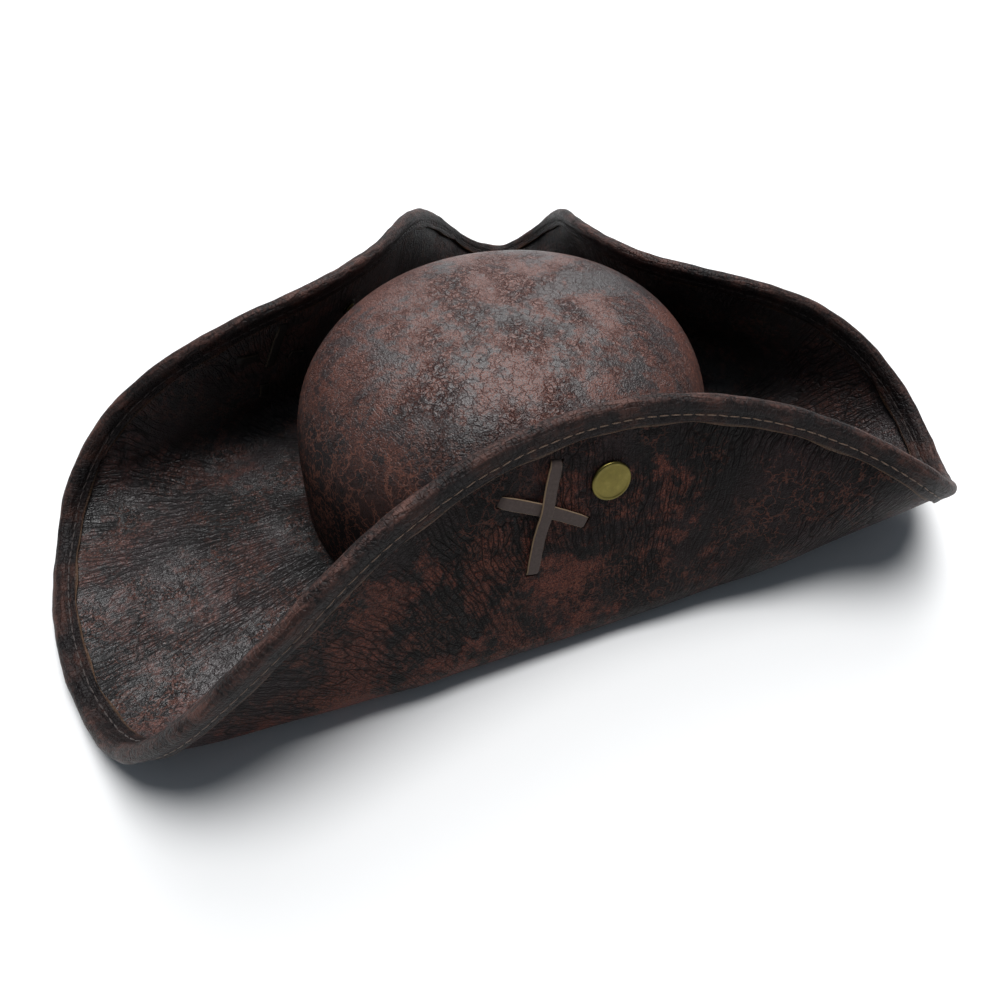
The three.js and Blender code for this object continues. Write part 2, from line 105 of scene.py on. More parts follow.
# Stitches: how far apart, how long, and the thread's radius
STITCH_INSET = 6.8
BINDING_STITCH = (4.8, 4.5, 0.28)
SEAM_STITCH = (4.2, 3.6, 0.35)

# Laces and rivets
# Each lace: the turns of its two slots from the cross's middle, their distances in from the edge,
# and how far its two ends run back inside the flap
LEFT_LACE_TURN = 61
RIGHT_LACE_TURN = 299
SHORT_LACE = ((5, 44), (-5, 21), 9, 9)
LONG_LACE = ((-4, 57), (2, 15), 9, 26)
LACE_CROSSING = 0.6
LACE_WIDTH = 4.8
LACE_WALL = 1.1
LACE_GAP = 0.15
SLOT_ROOM = (0.5, 0.7)
LEFT_RIVET_TURN = 69.5
RIGHT_RIVET_TURN = 284
RIVET_INSET = 29
RIVET_GAP = 0.2


# ---------------------------------------------------------------- shape of the hat


def way_out(turn):
    angle = np.radians(turn)
    return np.stack([np.sin(angle), -np.cos(angle)], -1)


def oval(turn, inset=0.0):
    """Distance from the middle to the oval inset inside the crown's foot."""
    way = way_out(turn)
    return 1 / np.hypot(way[..., 0] / (HALF_WIDTH - inset), way[..., 1] / (HALF_LENGTH - inset))


def brim_width(turn):
    return BRIM_WIDTH + BRIM_SIDE_EXTRA * np.sin(np.radians(turn)) ** 2


def flat_brim(turn, reach):
    """Place in the leather as it was cut, before it was folded up."""
    return way_out(turn) * (oval(turn) + reach)[..., None]


def fold(flat, flap):
    """What one flap adds to points of the flat brim."""
    facing, stand, lean_mid, radius_mid, start, end = flap
    out = way_out(facing)
    depth = flat @ out
    along = flat @ np.array([-out[1], out[0]])
    ahead = along >= 0
    sweep, lean_more, radius_end = (np.where(ahead, b, a) for a, b in zip(start, end))
    share = np.clip(np.abs(along) / CREASE_REACH, 0, 1.5) ** 2
    crease = oval(facing) + stand - sweep * (along / CREASE_REACH) ** 2
    radius = radius_mid + (radius_end - radius_mid) * share
    lean = np.radians(np.maximum(lean_mid + lean_more * share, 5))
    past = np.where(depth > 0, np.maximum(depth - crease, 0), 0)
    angle = np.minimum(past / radius, lean)
    rest = past - radius * angle
    inwards = radius * np.sin(angle) + rest * np.cos(lean) - past
    rise = radius * (1 - np.cos(angle)) + rest * np.sin(lean)
    return np.concatenate([out * inwards[..., None], rise[..., None]], -1)


def mid(turn, reach):
    """Points at mid thickness of the brim."""
    turn, reach = np.broadcast_arrays(np.asarray(turn, float), np.asarray(reach, float))
    flat = flat_brim(turn, reach)
    dished = np.maximum(reach - DISH_START, 0) / (brim_width(turn) - DISH_START)
    points = np.concatenate([flat, (BRIM_DISH * dished**2)[..., None]], -1)
    return points + sum(fold(flat, flap) for flap in FLAPS)


def unit(vectors):
    return vectors / np.linalg.norm(vectors, axis=-1, keepdims=True)


def brim_frame(turn, reach):
    """Way out along the leather, way round it, and its upper side."""
    turn, reach = np.asarray(turn, float), np.asarray(reach, float)
    out = unit(mid(turn, reach + 0.5) - mid(turn, reach - 0.5))
    round_way = unit(mid(turn + 0.2, reach) - mid(turn - 0.2, reach))
    return out, round_way, unit(np.cross(out, round_way))


def dip(turn, reach, at_turn, at_reach, depth, spread):
    """A soft dimple in the leather, measured in the flat sheet."""
    away = flat_brim(turn, reach) - flat_brim(np.asarray(at_turn, float), np.asarray(at_reach, float))
    return -depth * np.exp(-np.sum(away**2, -1) / spread**2)


def lace_slots():
    """Turn and inset of every slot in the brim."""
    for middle, mirror in ((LEFT_LACE_TURN, 1), (RIGHT_LACE_TURN, -1)):
        for start, end, _, _ in (SHORT_LACE, LONG_LACE):
            for slot_turn, inset in (start, end):
                yield middle + mirror * slot_turn, inset


def relief(turn, reach):
    """Slow waves the brim has taken on in use where it stands clear of the table, and the dips at its
    slots and rivets."""
    turn, reach = np.broadcast_arrays(np.asarray(turn, float), np.asarray(reach, float))
    angle = np.radians(turn)
    wave = 0.55 * np.sin(5 * angle + reach / 37 + 1.2) + 0.4 * np.sin(9 * angle - reach / 21 + 0.5)
    wave += 0.3 * np.sin(14 * angle + reach / 16 + 2.0) + 0.18 * np.sin(23 * angle - reach / 12)
    wave *= np.clip((reach - 8) / 30, 0, 1) ** 2 * np.clip(mid(turn, reach)[..., 2] / 8, 0.1, 1)
    for place, inset in lace_slots():
        wave += dip(turn, reach, place, brim_width(place) - inset, -0.5, 4.5)
    for place in (LEFT_RIVET_TURN, RIGHT_RIVET_TURN):
        wave += dip(turn, reach, place, brim_width(place) - RIVET_INSET, -0.5, 9)
    return wave


def brim(turn, reach, lift):
    """Points of the brim, lifted off mid thickness towards its upper side."""
    up = brim_frame(turn, reach)[2]
    return mid(turn, reach) + up * (np.asarray(lift, float) + relief(turn, reach))[..., None]


def crown_relief(turn, height):
    """Slow unevenness of the moulded dome."""
    angle = np.radians(turn)
    wave = 0.5 * np.sin(3 * angle + height / 30) + 0.35 * np.sin(5 * angle - height / 22 + 1.0)
    return wave * np.clip(height / 40, 0, 1) * np.clip((CROWN_HEIGHT - height) / 12, 0, 1)


def dome_rows(turn, inset, foot, count):
    """Rows of points from the foot of a dome up to near its pole."""
    height = CROWN_HEIGHT - inset
    start = math.atan2(foot / height, 1)
    angles = np.linspace(start, math.radians(88.5), count)[None, :]
    size = (np.cos(angles) ** SQUARENESS + np.sin(angles) ** SQUARENESS) ** (-1 / SQUARENESS)
    radius = oval(turn, inset)[:, None] * np.cos(angles) * size
    z = np.broadcast_to(height * np.sin(angles) * size, radius.shape)
    radius = radius + crown_relief(turn[:, None], z)
    return np.concatenate([way_out(turn)[:, None, :] * radius[..., None], z[..., None]], -1)


def wall(turn, inset, z):
    """Points on the crown's wall, inset from its outside, at given heights."""
    share = np.clip(z / (CROWN_HEIGHT - inset), 0, 1)
    radius = oval(turn, inset) * (1 - share**SQUARENESS) ** (1 / SQUARENESS) + crown_relief(turn, z)
    return np.concatenate([way_out(turn) * radius[..., None], z[..., None]], -1)


# ---------------------------------------------------------------- meshes


def piece(name, points, faces, material, **attributes):
    """A closed mesh at the origin from points in millimetres, with its faces turned outwards.
    Attributes are given for each point and kept on the face corners, so that a cut keeps them."""
    mesh = bpy.data.meshes.new(name)
    mesh.from_pydata((np.asarray(points) * MM).tolist(), [], [tuple(map(int, f)) for f in faces])
    work = bmesh.new()
    work.from_mesh(mesh)
    bmesh.ops.recalc_face_normals(work, faces=work.faces)
    work.to_mesh(mesh)
    work.free()
    corners = np.empty(len(mesh.loops), int)
    mesh.loops.foreach_get("vertex_index", corners)
    for key, values in attributes.items():
        values = np.asarray(values, float)[corners]
        kind, field = ("FLOAT_VECTOR", "vector") if values.ndim == 2 else ("FLOAT", "value")
        mesh.attributes.new(key, kind, "CORNER").data.foreach_set(field, values.ravel())
    mesh.polygons.foreach_set("use_smooth", [True] * len(mesh.polygons))
    mesh.materials.append(material)
    obj = bpy.data.objects.new(name, mesh)
    bpy.context.scene.collection.objects.link(obj)
    return obj


def ring_faces(stations, count, closed=True):
    """Quads between matching sections, with a cap at both ends of an open row."""
    spans = stations if closed else stations - 1
    i = np.arange(spans)[:, None]
    j = np.arange(count)[None, :]
    here, after = i * count, ((i + 1) % stations) * count
    k = (j + 1) % count
    faces = np.stack([here + j, after + j, after + k, here + k], -1).reshape(-1, 4).tolist()
    if not closed:
        last = (stations - 1) * count
        faces += [list(range(count))[::-1], [last + n for n in range(count)]]
    return faces


def dome_piece(name, profiles, outer_pole, inner_pole, material):
    """A closed shell of matching profiles that run from one pole to the other.
    Its sheet attribute is the leather laid flat round the outer pole."""
    stations, count = profiles.shape[:2]
    i = np.arange(stations)
    after = (i + 1) % stations
    j = np.arange(count - 1)[None, :]
    here, beyond = i[:, None] * count, after[:, None] * count
    faces = np.stack([here + j, beyond + j, beyond + j + 1, here + j + 1], -1).reshape(-1, 4).tolist()
    outer, inner = stations * count, stations * count + 1
    faces += [(outer, int(b) * count, int(a) * count) for a, b in zip(i, after)]
    faces += [(inner, (int(a) + 1) * count - 1, (int(b) + 1) * count - 1) for a, b in zip(i, after)]
    points = np.concatenate([profiles.reshape(-1, 3), [outer_pole, inner_pole]])
    steps = np.linalg.norm(np.diff(profiles, axis=1), axis=-1)
    start = np.linalg.norm(profiles[:, :1] - outer_pole, axis=-1)
    down = np.concatenate([start, start + np.cumsum(steps, 1)], 1)
    laid = down[..., None] * way_out(round_turns(stations))[:, None]
    laid = np.concatenate([laid.reshape(-1, 2) * MM, [[0, 0], [0, 0]]])
    return piece(name, points, faces, material, sheet=np.pad(laid, ((0, 0), (0, 1))))


def round_turns(count):
    return np.arange(count) * 360 / count


def brim_layer(name, low, high, material, stations, rows):
    """One ply of the brim. Its sheet attribute is the leather as it was cut, flat. Its grain attribute
    runs round the brim in x and out along it in y, and starts again at the back."""
    turn = round_turns(stations)[:, None] - 180
    share = np.linspace(0, 1, rows)[None, :]
    reach = -SEAM_WIDTH + (brim_width(turn) - PLY_INSET + SEAM_WIDTH) * share
    turn = np.broadcast_to(turn, reach.shape)
    sections = np.concatenate([brim(turn, reach, low), brim(turn, reach, high)[:, ::-1]], 1)
    zeros = np.zeros(reach.shape)
    flat = np.concatenate([flat_brim(turn, reach) * MM, zeros[..., None]], -1)
    grain = np.stack([np.radians(turn) * GRAIN_RADIUS * MM, reach * MM, zeros], -1)
    flat, grain = (np.concatenate([laid, laid[:, ::-1]], 1).reshape(-1, 3) for laid in (flat, grain))
    faces = ring_faces(stations, 2 * rows)
    obj = piece(name, sections.reshape(-1, 3), faces, material, sheet=flat, grain=grain)
    close_seam(obj, "grain", 2 * math.pi * GRAIN_RADIUS * MM)
    return obj


def close_seam(obj, name, whole):
    """Moves the corners of the last faces of a ring on by a whole turn, where the ring starts again."""
    mesh = obj.data
    field = mesh.attributes[name].data
    values = np.empty(len(field) * 3)
    field.foreach_get("vector", values)
    values = values.reshape(-1, 3)
    starts = np.empty(len(mesh.polygons), int)
    mesh.polygons.foreach_get("loop_start", starts)
    face_of = np.searchsorted(starts, np.arange(len(mesh.loops)), side="right") - 1
    most = np.full(len(starts), -np.inf)
    np.maximum.at(most, face_of, values[:, 0])
    values[(most[face_of] - values[:, 0]) > whole / 2, 0] += whole
    field.foreach_set("vector", values.ravel())


def nose_middle(turn):
    return brim_width(turn) - BINDING_OUTER


def edge_binding(material, stations=1752):
    """The strip folded over the brim's edge: a round nose over the wire, two legs pulled in by the seam,
    and a raw cut edge on each leg."""
    turn = round_turns(stations)
    width = brim_width(turn)
    edge = mid(turn, nose_middle(turn))
    run = np.concatenate([[0], np.cumsum(np.linalg.norm(np.diff(edge, axis=0), axis=1))])
    total = run[-1] + np.linalg.norm(edge[0] - edge[-1])
    stitches = round(total / BINDING_STITCH[0])
    pull = 0.5 + 0.5 * np.cos(2 * np.pi * stitches * run / total)
    angle = np.radians(turn)
    hem = BINDING_WIDTH + 0.35 * np.sin(31 * angle) + 0.25 * np.sin(53 * angle + 1)
    plump = -0.03 * pull + 0.1 * np.sin(41 * angle)
    plump += 0.08 * np.sin(67 * angle + 2) + 0.05 * np.sin(111 * angle)

    def leg(inset, lift, side):
        return brim(turn, width - inset, side * lift)

    def groove(inset):
        near = np.exp(-(((inset - STITCH_INSET) / 1.1) ** 2))
        return BINDING_OUTER - near * (0.3 + 0.2 * pull)

    out, _, up = brim_frame(turn, nose_middle(turn))
    centre = mid(turn, nose_middle(turn)) + up * relief(turn, nose_middle(turn))[:, None]

    def nose(radius, degrees):
        a = math.radians(degrees)
        size = radius[:, None] if np.ndim(radius) else radius
        return centre + out * math.cos(a) * size + up * math.sin(a) * size

    nose_size = BINDING_OUTER + plump
    legs = (9.2, 8.3, 7.5, 6.8, 6.1, 5.3, 4.4)
    points, raw, rubbed = [], [], []

    def add(ring, is_raw=0.0, is_nose=0.0):
        points.append(ring)
        raw.append(is_raw)
        rubbed.append(is_nose)

    for side in (1, -1):
        if side == 1:
            add(leg(hem, BINDING_OUTER - 0.3, side), 1.0)
            add(leg(hem - 0.25, BINDING_OUTER - 0.02, side), 0.6)
            for inset in legs:
                add(leg(inset, groove(inset), side))
            # rubbed is strongest on the roll's outer crest, where the shader lays a paler colour: partly
            # wear, partly a painted highlight.
            for degrees in (80, 60, 40, 20, 0, -20, -40, -60, -80):
                add(nose(nose_size, degrees), is_nose=math.cos(math.radians(degrees)))
        else:
            for inset in reversed(legs):
                add(leg(inset, groove(inset), side))
            add(leg(hem - 0.25, BINDING_OUTER - 0.02, side), 0.6)
            add(leg(hem, BINDING_OUTER - 0.3, side), 1.0)
    add(leg(hem, BINDING_INNER, -1), 1.0)
    add(leg(6.0, BINDING_INNER, -1))
    for degrees in (-80, -40, 0, 40, 80):
        add(nose(BINDING_INNER, degrees))
    add(leg(6.0, BINDING_INNER, 1))
    add(leg(hem, BINDING_INNER, 1), 1.0)
    sections = np.stack(points, 1)
    count = sections.shape[1]
    raw = np.broadcast_to(np.array(raw)[None, :], sections.shape[:2]).ravel()
    rubbed = np.broadcast_to(np.array(rubbed)[None, :], sections.shape[:2]).ravel()
    grain = np.zeros(sections.shape)
    grain[..., 0] = run[:, None] * MM
    grain[..., 1] = np.linspace(0, 0.026, count)[None, :]
    obj = piece(
        "binding_strip", sections.reshape(-1, 3), ring_faces(stations, count), material,
        raw=raw, rubbed=rubbed, grain=grain.reshape(-1, 3),
    )
    close_seam(obj, "grain", total * MM)
    return obj


def disc(centre, radius, first, second, sides):
    angles = 2 * np.pi * (np.arange(sides) + 0.5) / sides
    return (
        centre[:, None, :]
        + radius * np.cos(angles)[None, :, None] * first[:, None, :]
        + radius * np.sin(angles)[None, :, None] * second[:, None, :]
    )


def edge_wire(material, stations=360):
    turn = round_turns(stations)
    out, _, up = brim_frame(turn, nose_middle(turn))
    centre = mid(turn, nose_middle(turn)) + up * relief(turn, nose_middle(turn))[:, None]
    sections = disc(centre, WIRE_RADIUS, out, up, 10)
    return piece("edge_wire", sections.reshape(-1, 3), ring_faces(stations, 10), material)


def wire_sleeve(material):
    """The crimped sleeve over the wire's two ends, at the back."""
    turn = np.linspace(178.8, 182.8, 13)
    out, _, up = brim_frame(turn, nose_middle(turn))
    centre = mid(turn, nose_middle(turn)) + up * relief(turn, nose_middle(turn))[:, None]
    crimp = 1.55 - 0.12 * (np.arange(13) % 4 == 2)
    inner = disc(centre, WIRE_RADIUS + 0.08, out, up, 16)
    outer = centre[:, None, :] + (disc(centre, 1.0, out, up, 16) - centre[:, None, :]) * crimp[:, None, None]
    rings = np.concatenate([outer, inner[::-1]])
    return piece("wire_sleeve", rings.reshape(-1, 3), ring_faces(26, 16), material)


def crown(material):
    turn = round_turns(288)
    outer = dome_rows(turn, 0, CROWN_FOOT, 80)[:, ::-1]
    seam_wall = CROWN_FOOT + CROWN_WALL
    seam = np.concatenate([way_out(turn) * oval(turn, SEAM_WIDTH)[:, None], np.zeros((288, 1))], -1)
    low = seam + [0, 0, CROWN_FOOT]
    high = seam + [0, 0, seam_wall]
    inner = dome_rows(turn, CROWN_WALL, seam_wall, 40)
    profiles = np.concatenate([outer, low[:, None], high[:, None], inner], 1)
    poles = [0, 0, CROWN_HEIGHT], [0, 0, CROWN_HEIGHT - CROWN_WALL]
    return dome_piece("crown_dome", profiles, *poles, material)


def lining(material):
    turn = round_turns(180)
    inset = CROWN_WALL + GAP
    outer = dome_rows(turn, inset, BAND_FOOT, 36)[:, ::-1]
    inner = dome_rows(turn, inset + LINING_WALL, BAND_FOOT, 36)
    poles = [0, 0, CROWN_HEIGHT - inset], [0, 0, CROWN_HEIGHT - inset - LINING_WALL]
    return dome_piece("dome_lining", np.concatenate([outer, inner], 1), *poles, material)


def band_sections(turn, inset, thick, bottom, top, rows=10):
    """A band inside the crown, with rounded edges."""
    height = np.linspace(bottom, top, rows)
    soft = np.zeros(rows)
    soft[[0, -1]] = 0.35 * thick
    levels = [(np.full(turn.shape, z), drawn_in) for z, drawn_in in zip(height, soft)]
    outer = [wall(turn, inset + drawn_in, z) for z, drawn_in in levels]
    inner = [wall(turn, inset + thick - drawn_in, z) for z, drawn_in in levels]
    return np.stack(outer + inner[::-1], 1)


def sweatband(material):
    turn = round_turns(240)
    sections = band_sections(turn, BAND_INSET, BAND_WALL, BAND_FOOT, BAND_FOOT + BAND_HEIGHT)
    return piece("head_band", sections.reshape(-1, 3), ring_faces(240, 20), material)


def band_tape(material):
    turn = np.linspace(180 - TAPE_HALF_ANGLE, 180 + TAPE_HALF_ANGLE, 17)
    inset = BAND_INSET + BAND_WALL + GAP
    sections = band_sections(turn, inset, TAPE_WALL, BAND_FOOT + 1.3, BAND_FOOT + BAND_HEIGHT)
    return piece("joint_tape", sections.reshape(-1, 3), ring_faces(17, 20, closed=False), material)


# ---------------------------------------------------------------- laces and rivets


def through(points, steps):
    """A smooth line through control points, by Catmull-Rom."""
    points = np.asarray(points, float)
    ends = np.concatenate([[2 * points[0] - points[1]], points, [2 * points[-1] - points[-2]]])
    share = np.linspace(0, 1, steps, endpoint=False)[:, None]
    runs = []
    for a, b, c, d in zip(ends, ends[1:], ends[2:], ends[3:]):
        bend = (2 * a - 5 * b + 4 * c - d) * share**2
        twist = (3 * b - a - 3 * c + d) * share**3
        runs.append(0.5 * (2 * b + (c - a) * share + bend + twist))
    return np.concatenate(runs + [points[-1:]])


def lace_ends(sizes, middle, mirror):
    return [
        (middle + mirror * turn, brim_width(middle + mirror * turn) - inset) for turn, inset in sizes[:2]
    ]


def lace_way(start, end):
    return mid(end[0], end[1]) - mid(start[0], start[1])


def lace(name, sizes, middle, mirror, hump, material):
    """A flat lace: a tail inside, out through a slot, an arm outside, in again, and a tail inside."""
    start, end = lace_ends(sizes, middle, mirror)
    way = lace_way(start, end)
    length = np.linalg.norm(way)
    stations, across, pinch, inside = [], [], [], []

    def put(share, lift, width=1.0):
        turn = start[0] + (end[0] - start[0]) * share
        reach = start[1] + (end[1] - start[1]) * share
        up = brim_frame(turn, reach)[2]
        stations.append(brim(np.float64(turn), np.float64(reach), lift))
        across.append(unit(np.cross(up, way)))
        pinch.append(width)
        inside.append([float(lift > 0)])

    rest = PLIES / 2 + LACE_GAP + LACE_WALL / 2
    bend = 1.5 / length
    tail_start, tail_end = sizes[2] / length, sizes[3] / length
    for share in np.linspace(tail_start, bend, 4):
        put(share, rest + 0.25 * math.sin(math.pi * share / tail_start))
    put(0, 1.1, 0.86)
    put(0, -1.1, 0.84)
    for share in (bend, 0.1, 0.22, 0.34, 0.46, 0.54, 0.6, 0.66, 0.78, 0.9, 1 - bend):
        slack = 0.45 * math.sin(math.pi * share)
        over = hump * math.exp(-(((share - LACE_CROSSING) / 0.15) ** 2))
        put(share, -rest - slack - over, 0.93 if share in (bend, 1 - bend) else 1.0)
    put(1, -1.1, 0.84)
    put(1, 1.1, 0.86)
    for share in np.linspace(bend, tail_end, 6):
        put(1 - share, rest + 0.3 * math.sin(math.pi * share / tail_end))

    centre = through(stations, 7)
    side = unit(through(across, 7))
    tangent = unit(np.gradient(centre, axis=0))
    thick = unit(np.cross(side, tangent))
    side = unit(np.cross(tangent, thick))
    half, deep, soft = LACE_WIDTH / 2, LACE_WALL / 2, 0.16
    outline = [
        (-half, -deep + soft), (-half + soft, -deep), (-half / 2, -deep), (0, -deep - 0.06),
        (half / 2, -deep), (half - soft, -deep), (half, -deep + soft), (half, 0),
        (half, deep - soft), (half - soft, deep), (half / 2, deep), (0, deep + 0.06),
        (-half / 2, deep), (-half + soft, deep), (-half, deep - soft), (-half, 0),
    ]
    width = through([[w] for w in pinch], 7)
    sections = np.stack([centre + side * (x * width) + thick * y for x, y in outline], 1)
    cut_edge = np.array([1.0 if abs(x) > half - 0.1 else 0.0 for x, _ in outline])
    cut_edge = np.broadcast_to(cut_edge[None, :], sections.shape[:2]).ravel()
    shaded = np.broadcast_to(through(inside, 7), sections.shape[:2]).ravel()
    run_length = np.concatenate([[0], np.cumsum(np.linalg.norm(np.diff(centre, axis=0), axis=1))])
    fibre = np.zeros(sections.shape)
    fibre[..., 0] = run_length[:, None] * MM
    fibre[..., 1] = np.array([x for x, _ in outline])[None, :] * MM
    return piece(
        name, sections.reshape(-1, 3), ring_faces(len(centre), len(outline), closed=False), material,
        cut_edge=cut_edge, shaded=shaded, fibre=fibre.reshape(-1, 3),
    )


def slot_cutter():
    """Narrow blocks where the laces pass through the brim."""
    blocks = bmesh.new()
    for middle, mirror in ((LEFT_LACE_TURN, 1), (RIGHT_LACE_TURN, -1)):
        for sizes in (SHORT_LACE, LONG_LACE):
            start, end = lace_ends(sizes, middle, mirror)
            way = lace_way(start, end)
            for turn, reach in (start, end):
                up = brim_frame(turn, reach)[2]
                across = unit(np.cross(up, way))
                axes = Matrix([across, np.cross(up, across), up]).transposed().to_4x4()
                origin = Vector(brim(np.float64(turn), np.float64(reach), 0.0) * MM)
                block = Vector((LACE_WIDTH + SLOT_ROOM[0], LACE_WALL + SLOT_ROOM[1], 3 * PLIES))
                size = Matrix.Diagonal(block * MM).to_4x4()
                bmesh.ops.create_cube(blocks, size=1, matrix=Matrix.Translation(origin) @ axes @ size)
    mesh = bpy.data.meshes.new("slot_blocks")
    blocks.to_mesh(mesh)
    blocks.free()
    cutter = bpy.data.objects.new("slot_blocks", mesh)
    bpy.context.scene.collection.objects.link(cutter)
    return cutter


def cut_slots(obj, cutter):
    """Cuts the slots into a layer of the brim, for good."""
    knife = obj.modifiers.new("Slots", "BOOLEAN")
    knife.operation = "DIFFERENCE"
    knife.solver = "MANIFOLD"
    knife.object = cutter
    bpy.context.view_layer.update()
    graph = bpy.context.evaluated_depsgraph_get()
    slotted = bpy.data.meshes.new_from_object(obj.evaluated_get(graph), depsgraph=graph)
    obj.modifiers.clear()
    obj.data = slotted
    slotted.set_sharp_from_angle(angle=math.radians(45))
    return obj


def lathe(profile, segments=96):
    """Points and faces turned about Y from pairs of radius and height; pairs on the axis become poles."""
    closed = profile[0] == profile[-1]
    rings = profile[:-1] if closed else profile[1:-1]
    angles = 2 * np.pi * np.arange(segments) / segments
    points = np.array([[(r * math.cos(a), y, r * math.sin(a)) for r, y in rings] for a in angles])
    count = len(rings)
    if closed:
        return points.reshape(-1, 3), ring_faces(segments, count)
    faces = []
    for i in range(segments):
        here, after = i * count, ((i + 1) % segments) * count
        faces += [(here + j, after + j, after + j + 1, here + j + 1) for j in range(count - 1)]
    bottom, top = segments * count, segments * count + 1
    for i in range(segments):
        here, after = i * count, ((i + 1) % segments) * count
        faces += [(bottom, after, here), (top, here + count - 1, after + count - 1)]
    poles = [(0, profile[0][1], 0), (0, profile[-1][1], 0)]
    return np.concatenate([points.reshape(-1, 3), poles]), faces


def rivet_place(turn):
    """Where a rivet goes: +Y looks out through the brim's under side."""
    reach = brim_width(turn) - RIVET_INSET
    out, _, up = brim_frame(turn, reach)
    origin = brim(np.float64(turn), np.float64(reach), 0.0)
    side = unit(np.cross(-up, out))
    return origin, np.stack([side, -up, np.cross(side, -up)], 0)


def rivet(name, turn, material):
    """A flat cap with a rolled rim, on a post whose head is closed over the burr."""
    seat = PLIES / 2 + RIVET_GAP
    neck = -PLIES / 2 - 1.2
    profile = [
        (0, neck - 0.75), (1.4, neck - 0.7), (2.4, neck - 0.5), (2.9, neck - 0.15), (2.8, neck),
        (1.9, neck), (1.9, seat), (6.6, seat), (7.5, seat + 0.1), (7.9, seat + 0.4),
        (8.0, seat + 0.8), (7.9, seat + 1.15),
        (7.65, seat + 1.4), (7.3, seat + 1.5), (6.9, seat + 1.47), (6.6, seat + 1.36), (6.3, seat + 1.34),
        (5.0, seat + 1.42), (3.0, seat + 1.5), (1.2, seat + 1.53), (0, seat + 1.54),
    ]
    points, faces = lathe(profile)
    origin, axes = rivet_place(turn)
    return piece(name, points @ axes + origin, faces, material)


def burr(name, turn, material):
    seat = -PLIES / 2 - RIVET_GAP
    profile = [
        (2.1, seat - 0.75), (2.4, seat - 0.95), (4.3, seat - 0.7), (4.75, seat - 0.4), (4.8, seat - 0.1),
        (4.7, seat), (2.1, seat), (2.1, seat - 0.75),
    ]
    points, faces = lathe(profile, 64)
    origin, axes = rivet_place(turn)
    return piece(name, points @ axes + origin, faces, material)


# ---------------------------------------------------------------- nodes


def linear(hex_colour):
    """An sRGB hex colour as the linear values the shaders take."""
    channels = [int(hex_colour[i : i + 2], 16) / 255 for i in (0, 2, 4)]
    return tuple(c / 12.92 if c <= 0.04045 else ((c + 0.055) / 1.055) ** 2.4 for c in channels) + (1.0,)


def output_of(source):
    """The socket to link from: a node stands for its first output in use."""
    if isinstance(source, bpy.types.Node):
        return next(socket for socket in source.outputs if socket.enabled)
    return source


def add_node(tree, kind, inputs=None, stops=(), **settings):
    """Adds a node. inputs gives each input, by name or by place, a value, or a socket or node to link to
    it. stops are a ramp's places, each with its hex colour or its grey."""
    made = tree.nodes.new(kind)
    for key, value in settings.items():
        setattr(made, key, value)
    for key, value in (inputs or {}).items():
        if isinstance(value, (bpy.types.Node, bpy.types.NodeSocket)):
            tree.links.new(output_of(value), made.inputs[key])
        else:
            made.inputs[key].default_value = value
    for _ in stops[2:]:
        made.color_ramp.elements.new(0.5)
    for place, (position, colour) in enumerate(stops):
        element = made.color_ramp.elements[place]
        element.position = position
        element.color = linear(colour) if isinstance(colour, str) else (colour, colour, colour, 1)
    return made


# ---------------------------------------------------------------- stitches


def stitch_tree():
    """Geometry Nodes: a thread stitch at every step of a path, lying along it on the leather."""
    tree = bpy.data.node_groups.new("Row of stitches", "GeometryNodeTree")
    tree.interface.new_socket("Path", in_out="INPUT", socket_type="NodeSocketGeometry")
    for name in ("Pitch", "Stitch length", "Thread radius"):
        tree.interface.new_socket(name, in_out="INPUT", socket_type="NodeSocketFloat")
    tree.interface.new_socket("Thread", in_out="INPUT", socket_type="NodeSocketMaterial")
    tree.interface.new_socket("Stitches", in_out="OUTPUT", socket_type="NodeSocketGeometry")
    given = add_node(tree, "NodeGroupInput").outputs
    path = add_node(tree, "GeometryNodeMeshToCurve", {"Mesh": given["Path"]})
    steps = add_node(
        tree, "GeometryNodeCurveToPoints", {"Curve": path, "Length": given["Pitch"]}, mode="LENGTH"
    )
    away = add_node(tree, "GeometryNodeInputNamedAttribute", {"Name": "away"}, data_type="FLOAT_VECTOR")
    lying = add_node(
        tree, "FunctionNodeAlignRotationToVector", {"Vector": steps.outputs["Tangent"]}, axis="X"
    )
    upright = add_node(
        tree, "FunctionNodeAlignRotationToVector",
        {"Rotation": lying, "Vector": away.outputs["Attribute"]}, axis="Z", pivot_axis="X",
    )
    tilt = add_node(
        tree, "FunctionNodeRandomValue", {"Min": -0.09, "Max": 0.09, "Seed": 7}, data_type="FLOAT"
    )
    tilt_turn = add_node(tree, "ShaderNodeCombineXYZ", {"Z": tilt.outputs["Value"]})
    turned = add_node(
        tree, "FunctionNodeRotateRotation",
        {"Rotation": upright, "Rotate By": tilt_turn}, rotation_space="LOCAL",
    )
    bead = add_node(tree, "GeometryNodeMeshUVSphere", {"Segments": 8, "Rings": 6, "Radius": 1.0})
    half = add_node(tree, "ShaderNodeMath", {0: given["Stitch length"], 1: 0.5}, operation="MULTIPLY")
    radius = given["Thread radius"]
    size = add_node(tree, "ShaderNodeCombineXYZ", {"X": half, "Y": radius, "Z": radius})
    rows = add_node(
        tree, "GeometryNodeInstanceOnPoints",
        {"Points": steps, "Instance": bead, "Rotation": turned, "Scale": size},
    )
    solid = add_node(tree, "GeometryNodeRealizeInstances", {"Geometry": rows})
    soft = add_node(tree, "GeometryNodeSetShadeSmooth", {"Geometry": solid})
    dyed = add_node(tree, "GeometryNodeSetMaterial", {"Geometry": soft, "Material": given["Thread"]})
    add_node(tree, "NodeGroupOutput", {0: dyed})
    return tree


